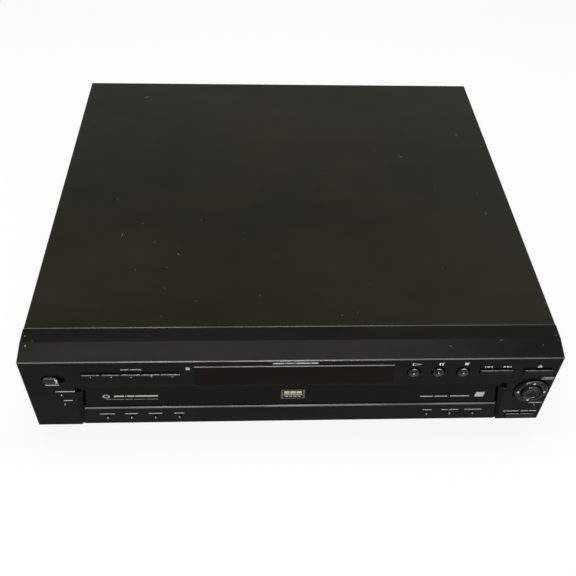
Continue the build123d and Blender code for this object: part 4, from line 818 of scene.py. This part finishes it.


# The last shade is a painted highlight on the cover's edges that face up and forwards.
case_paint = black_paint("case_paint", (0.0104, 0.0102, 0.0064), (0.34, 0.44), 0.055, (0.1, 0.1, 0.09))
dress(case_paint, "rear_panel", "top_cover")
BAND_FRONT, BAND_BACK, STRIP_BACK = (-200.6, 96.4), (-183.6, 101.3), (-170.0, 102.0)
COVER_TOP = 102.0
CHIPS = (
    (212.3, -145.8, 1.2), (213.9, -159.4, 1.0), (213.6, -169.0, 1.1), (213.8, -67.3, 0.9),
    (-160, -168.4, 0.9), (-211.6, -177.4, 1.1), (-209.9, -186.5, 1.3), (-205.2, -182.5, 0.7),
    (211.6, -180.6, 0.9), (212.0, -185.3, 0.7), (-213.2, -140.0, 0.7), (-212.8, 60.0, 0.8),
    (-213.0, 190.0, 0.8),
)
SCRATCHES = (
    (166.3, -184.9, 3.0, 20), (124.3, -189.6, 2.5, -35), (198.9, -189.4, 2.0, 60), (-150, -60, 6.0, 80),
    (-98, -85, 4.0, -60), (120, 60, 5.0, 15), (185, 100, 6.0, -75), (-150, 170, 7.0, 30),
    (188, -30, 5.0, 70),
)
SCRATCH_WIDTH = 0.24
CHIP_REACH = (0.5, 0.8)
CHIP_SHAPE = ((1.0, 0.1), (0.5, 0.7), (-0.1, 0.5), (-0.8, 0.6), (-0.9, -0.3), (-0.2, -0.8), (0.6, -0.5))


def case_height(y):
    """The height of the case's top at this depth: sloped band, nearly flat strip, then the cover."""
    for (near, low), (far, high) in ((BAND_FRONT, BAND_BACK), (BAND_BACK, STRIP_BACK)):
        if y < far:
            return low + (y - near) * (high - low) / (far - near)
    return COVER_TOP


def laid(outline, thick=INK_THICKNESS, sunk=0.05):
    """A thin shell that lies on the top of the case, from (x, y) points."""
    points = [(x, y, case_height(y) + rise) for rise in (thick, -sunk) for x, y in outline]
    return points, slab_faces(len(outline))


chips = []
for x, y, size in CHIPS:
    wide, deep = size * CHIP_REACH[0], size * CHIP_REACH[1]
    chips.append(laid([(x + a * wide, y + b * deep) for a, b in CHIP_SHAPE]))
bare_steel = plated("bare_steel", ((0.05, 0.05, 0.045), (0.16, 0.16, 0.15)), (0.4, 0.6))
make_piece("paint_chips", "chassis", chips, bare_steel)
scratches = []
for x, y, length, turn in SCRATCHES:
    reach = Vector((cos(radians(turn)), sin(radians(turn)))) * length / 2
    width = Vector((-reach.y, reach.x)).normalized() * SCRATCH_WIDTH
    middle = Vector((x, y))
    start, end = middle - reach, middle + reach
    scratches.append(laid([tuple(start), tuple(middle - width), tuple(end), tuple(middle + width)]))
make_piece("light_scratches", "chassis", scratches, print_ink("scratched_paint", (0.2, 0.2, 0.18)))

# Cover screws: pan heads of blackened steel, two on each side and one at the back, each with a dark cross
# standing slightly proud of its head as the painted shade of its cross recess. They are driven through the
# edges of the cover and hold it on.
COVER_SIDE_X = 214.7
SIDE_SCREWS_Y = (-125.0, 143.8)
SIDE_SCREWS_Z = 30.0
BACK_SCREW = (0, 198.8, 96.0)
BACK_SCREW_SIZE = 0.8
SCREW_PROFILE = ((0, 1.6), (1.4, 1.57), (2.6, 1.38), (3.4, 1.0), (3.9, 0.5), (4.0, 0), (0, 0))
CROSS_ARM = (1.9, 0.38)
CROSS_DEPTH = (0.9, 1.62)
screws = []
for side in (-1, 1):
    screws += [((side * COVER_SIDE_X, y, SIDE_SCREWS_Z), (side, 0, 0), 1.0) for y in SIDE_SCREWS_Y]
screws.append((BACK_SCREW, (0, 1, 0), BACK_SCREW_SIZE))
heads, recess_shades = [], []
for place, along, size in screws:
    axis = Vector(along)
    heads.append(turned([(radius * size, distance) for radius, distance in SCREW_PROFILE], place, along, 32))
    side, up = Vector((-axis.y, axis.x, 0)), Vector((0, 0, 1))
    for first, second in ((side, up), (up, side)):
        arm, half = first * CROSS_ARM[0] * size, second * CROSS_ARM[1] * size
        corners = [arm + half, arm - half, -arm - half, -arm + half]
        levels = [Vector(place) + axis * depth for depth in CROSS_DEPTH]
        points = [corner + level for level in levels for corner in corners]
        recess_shades.append((points, slab_faces(len(corners))))
screw_heads = make_piece("screw_heads", "chassis", heads, plated("black_oxide", (0.03, 0.05), (0.3, 0.42)))
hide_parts("cover_screws")
recess_painted_shade = moulding("recess_painted_shade", (0.004, 0.004, 0.004), (0.6, 0.8), 0.1)
make_piece("screw_recess_shade", "chassis", recess_shades, recess_painted_shade)
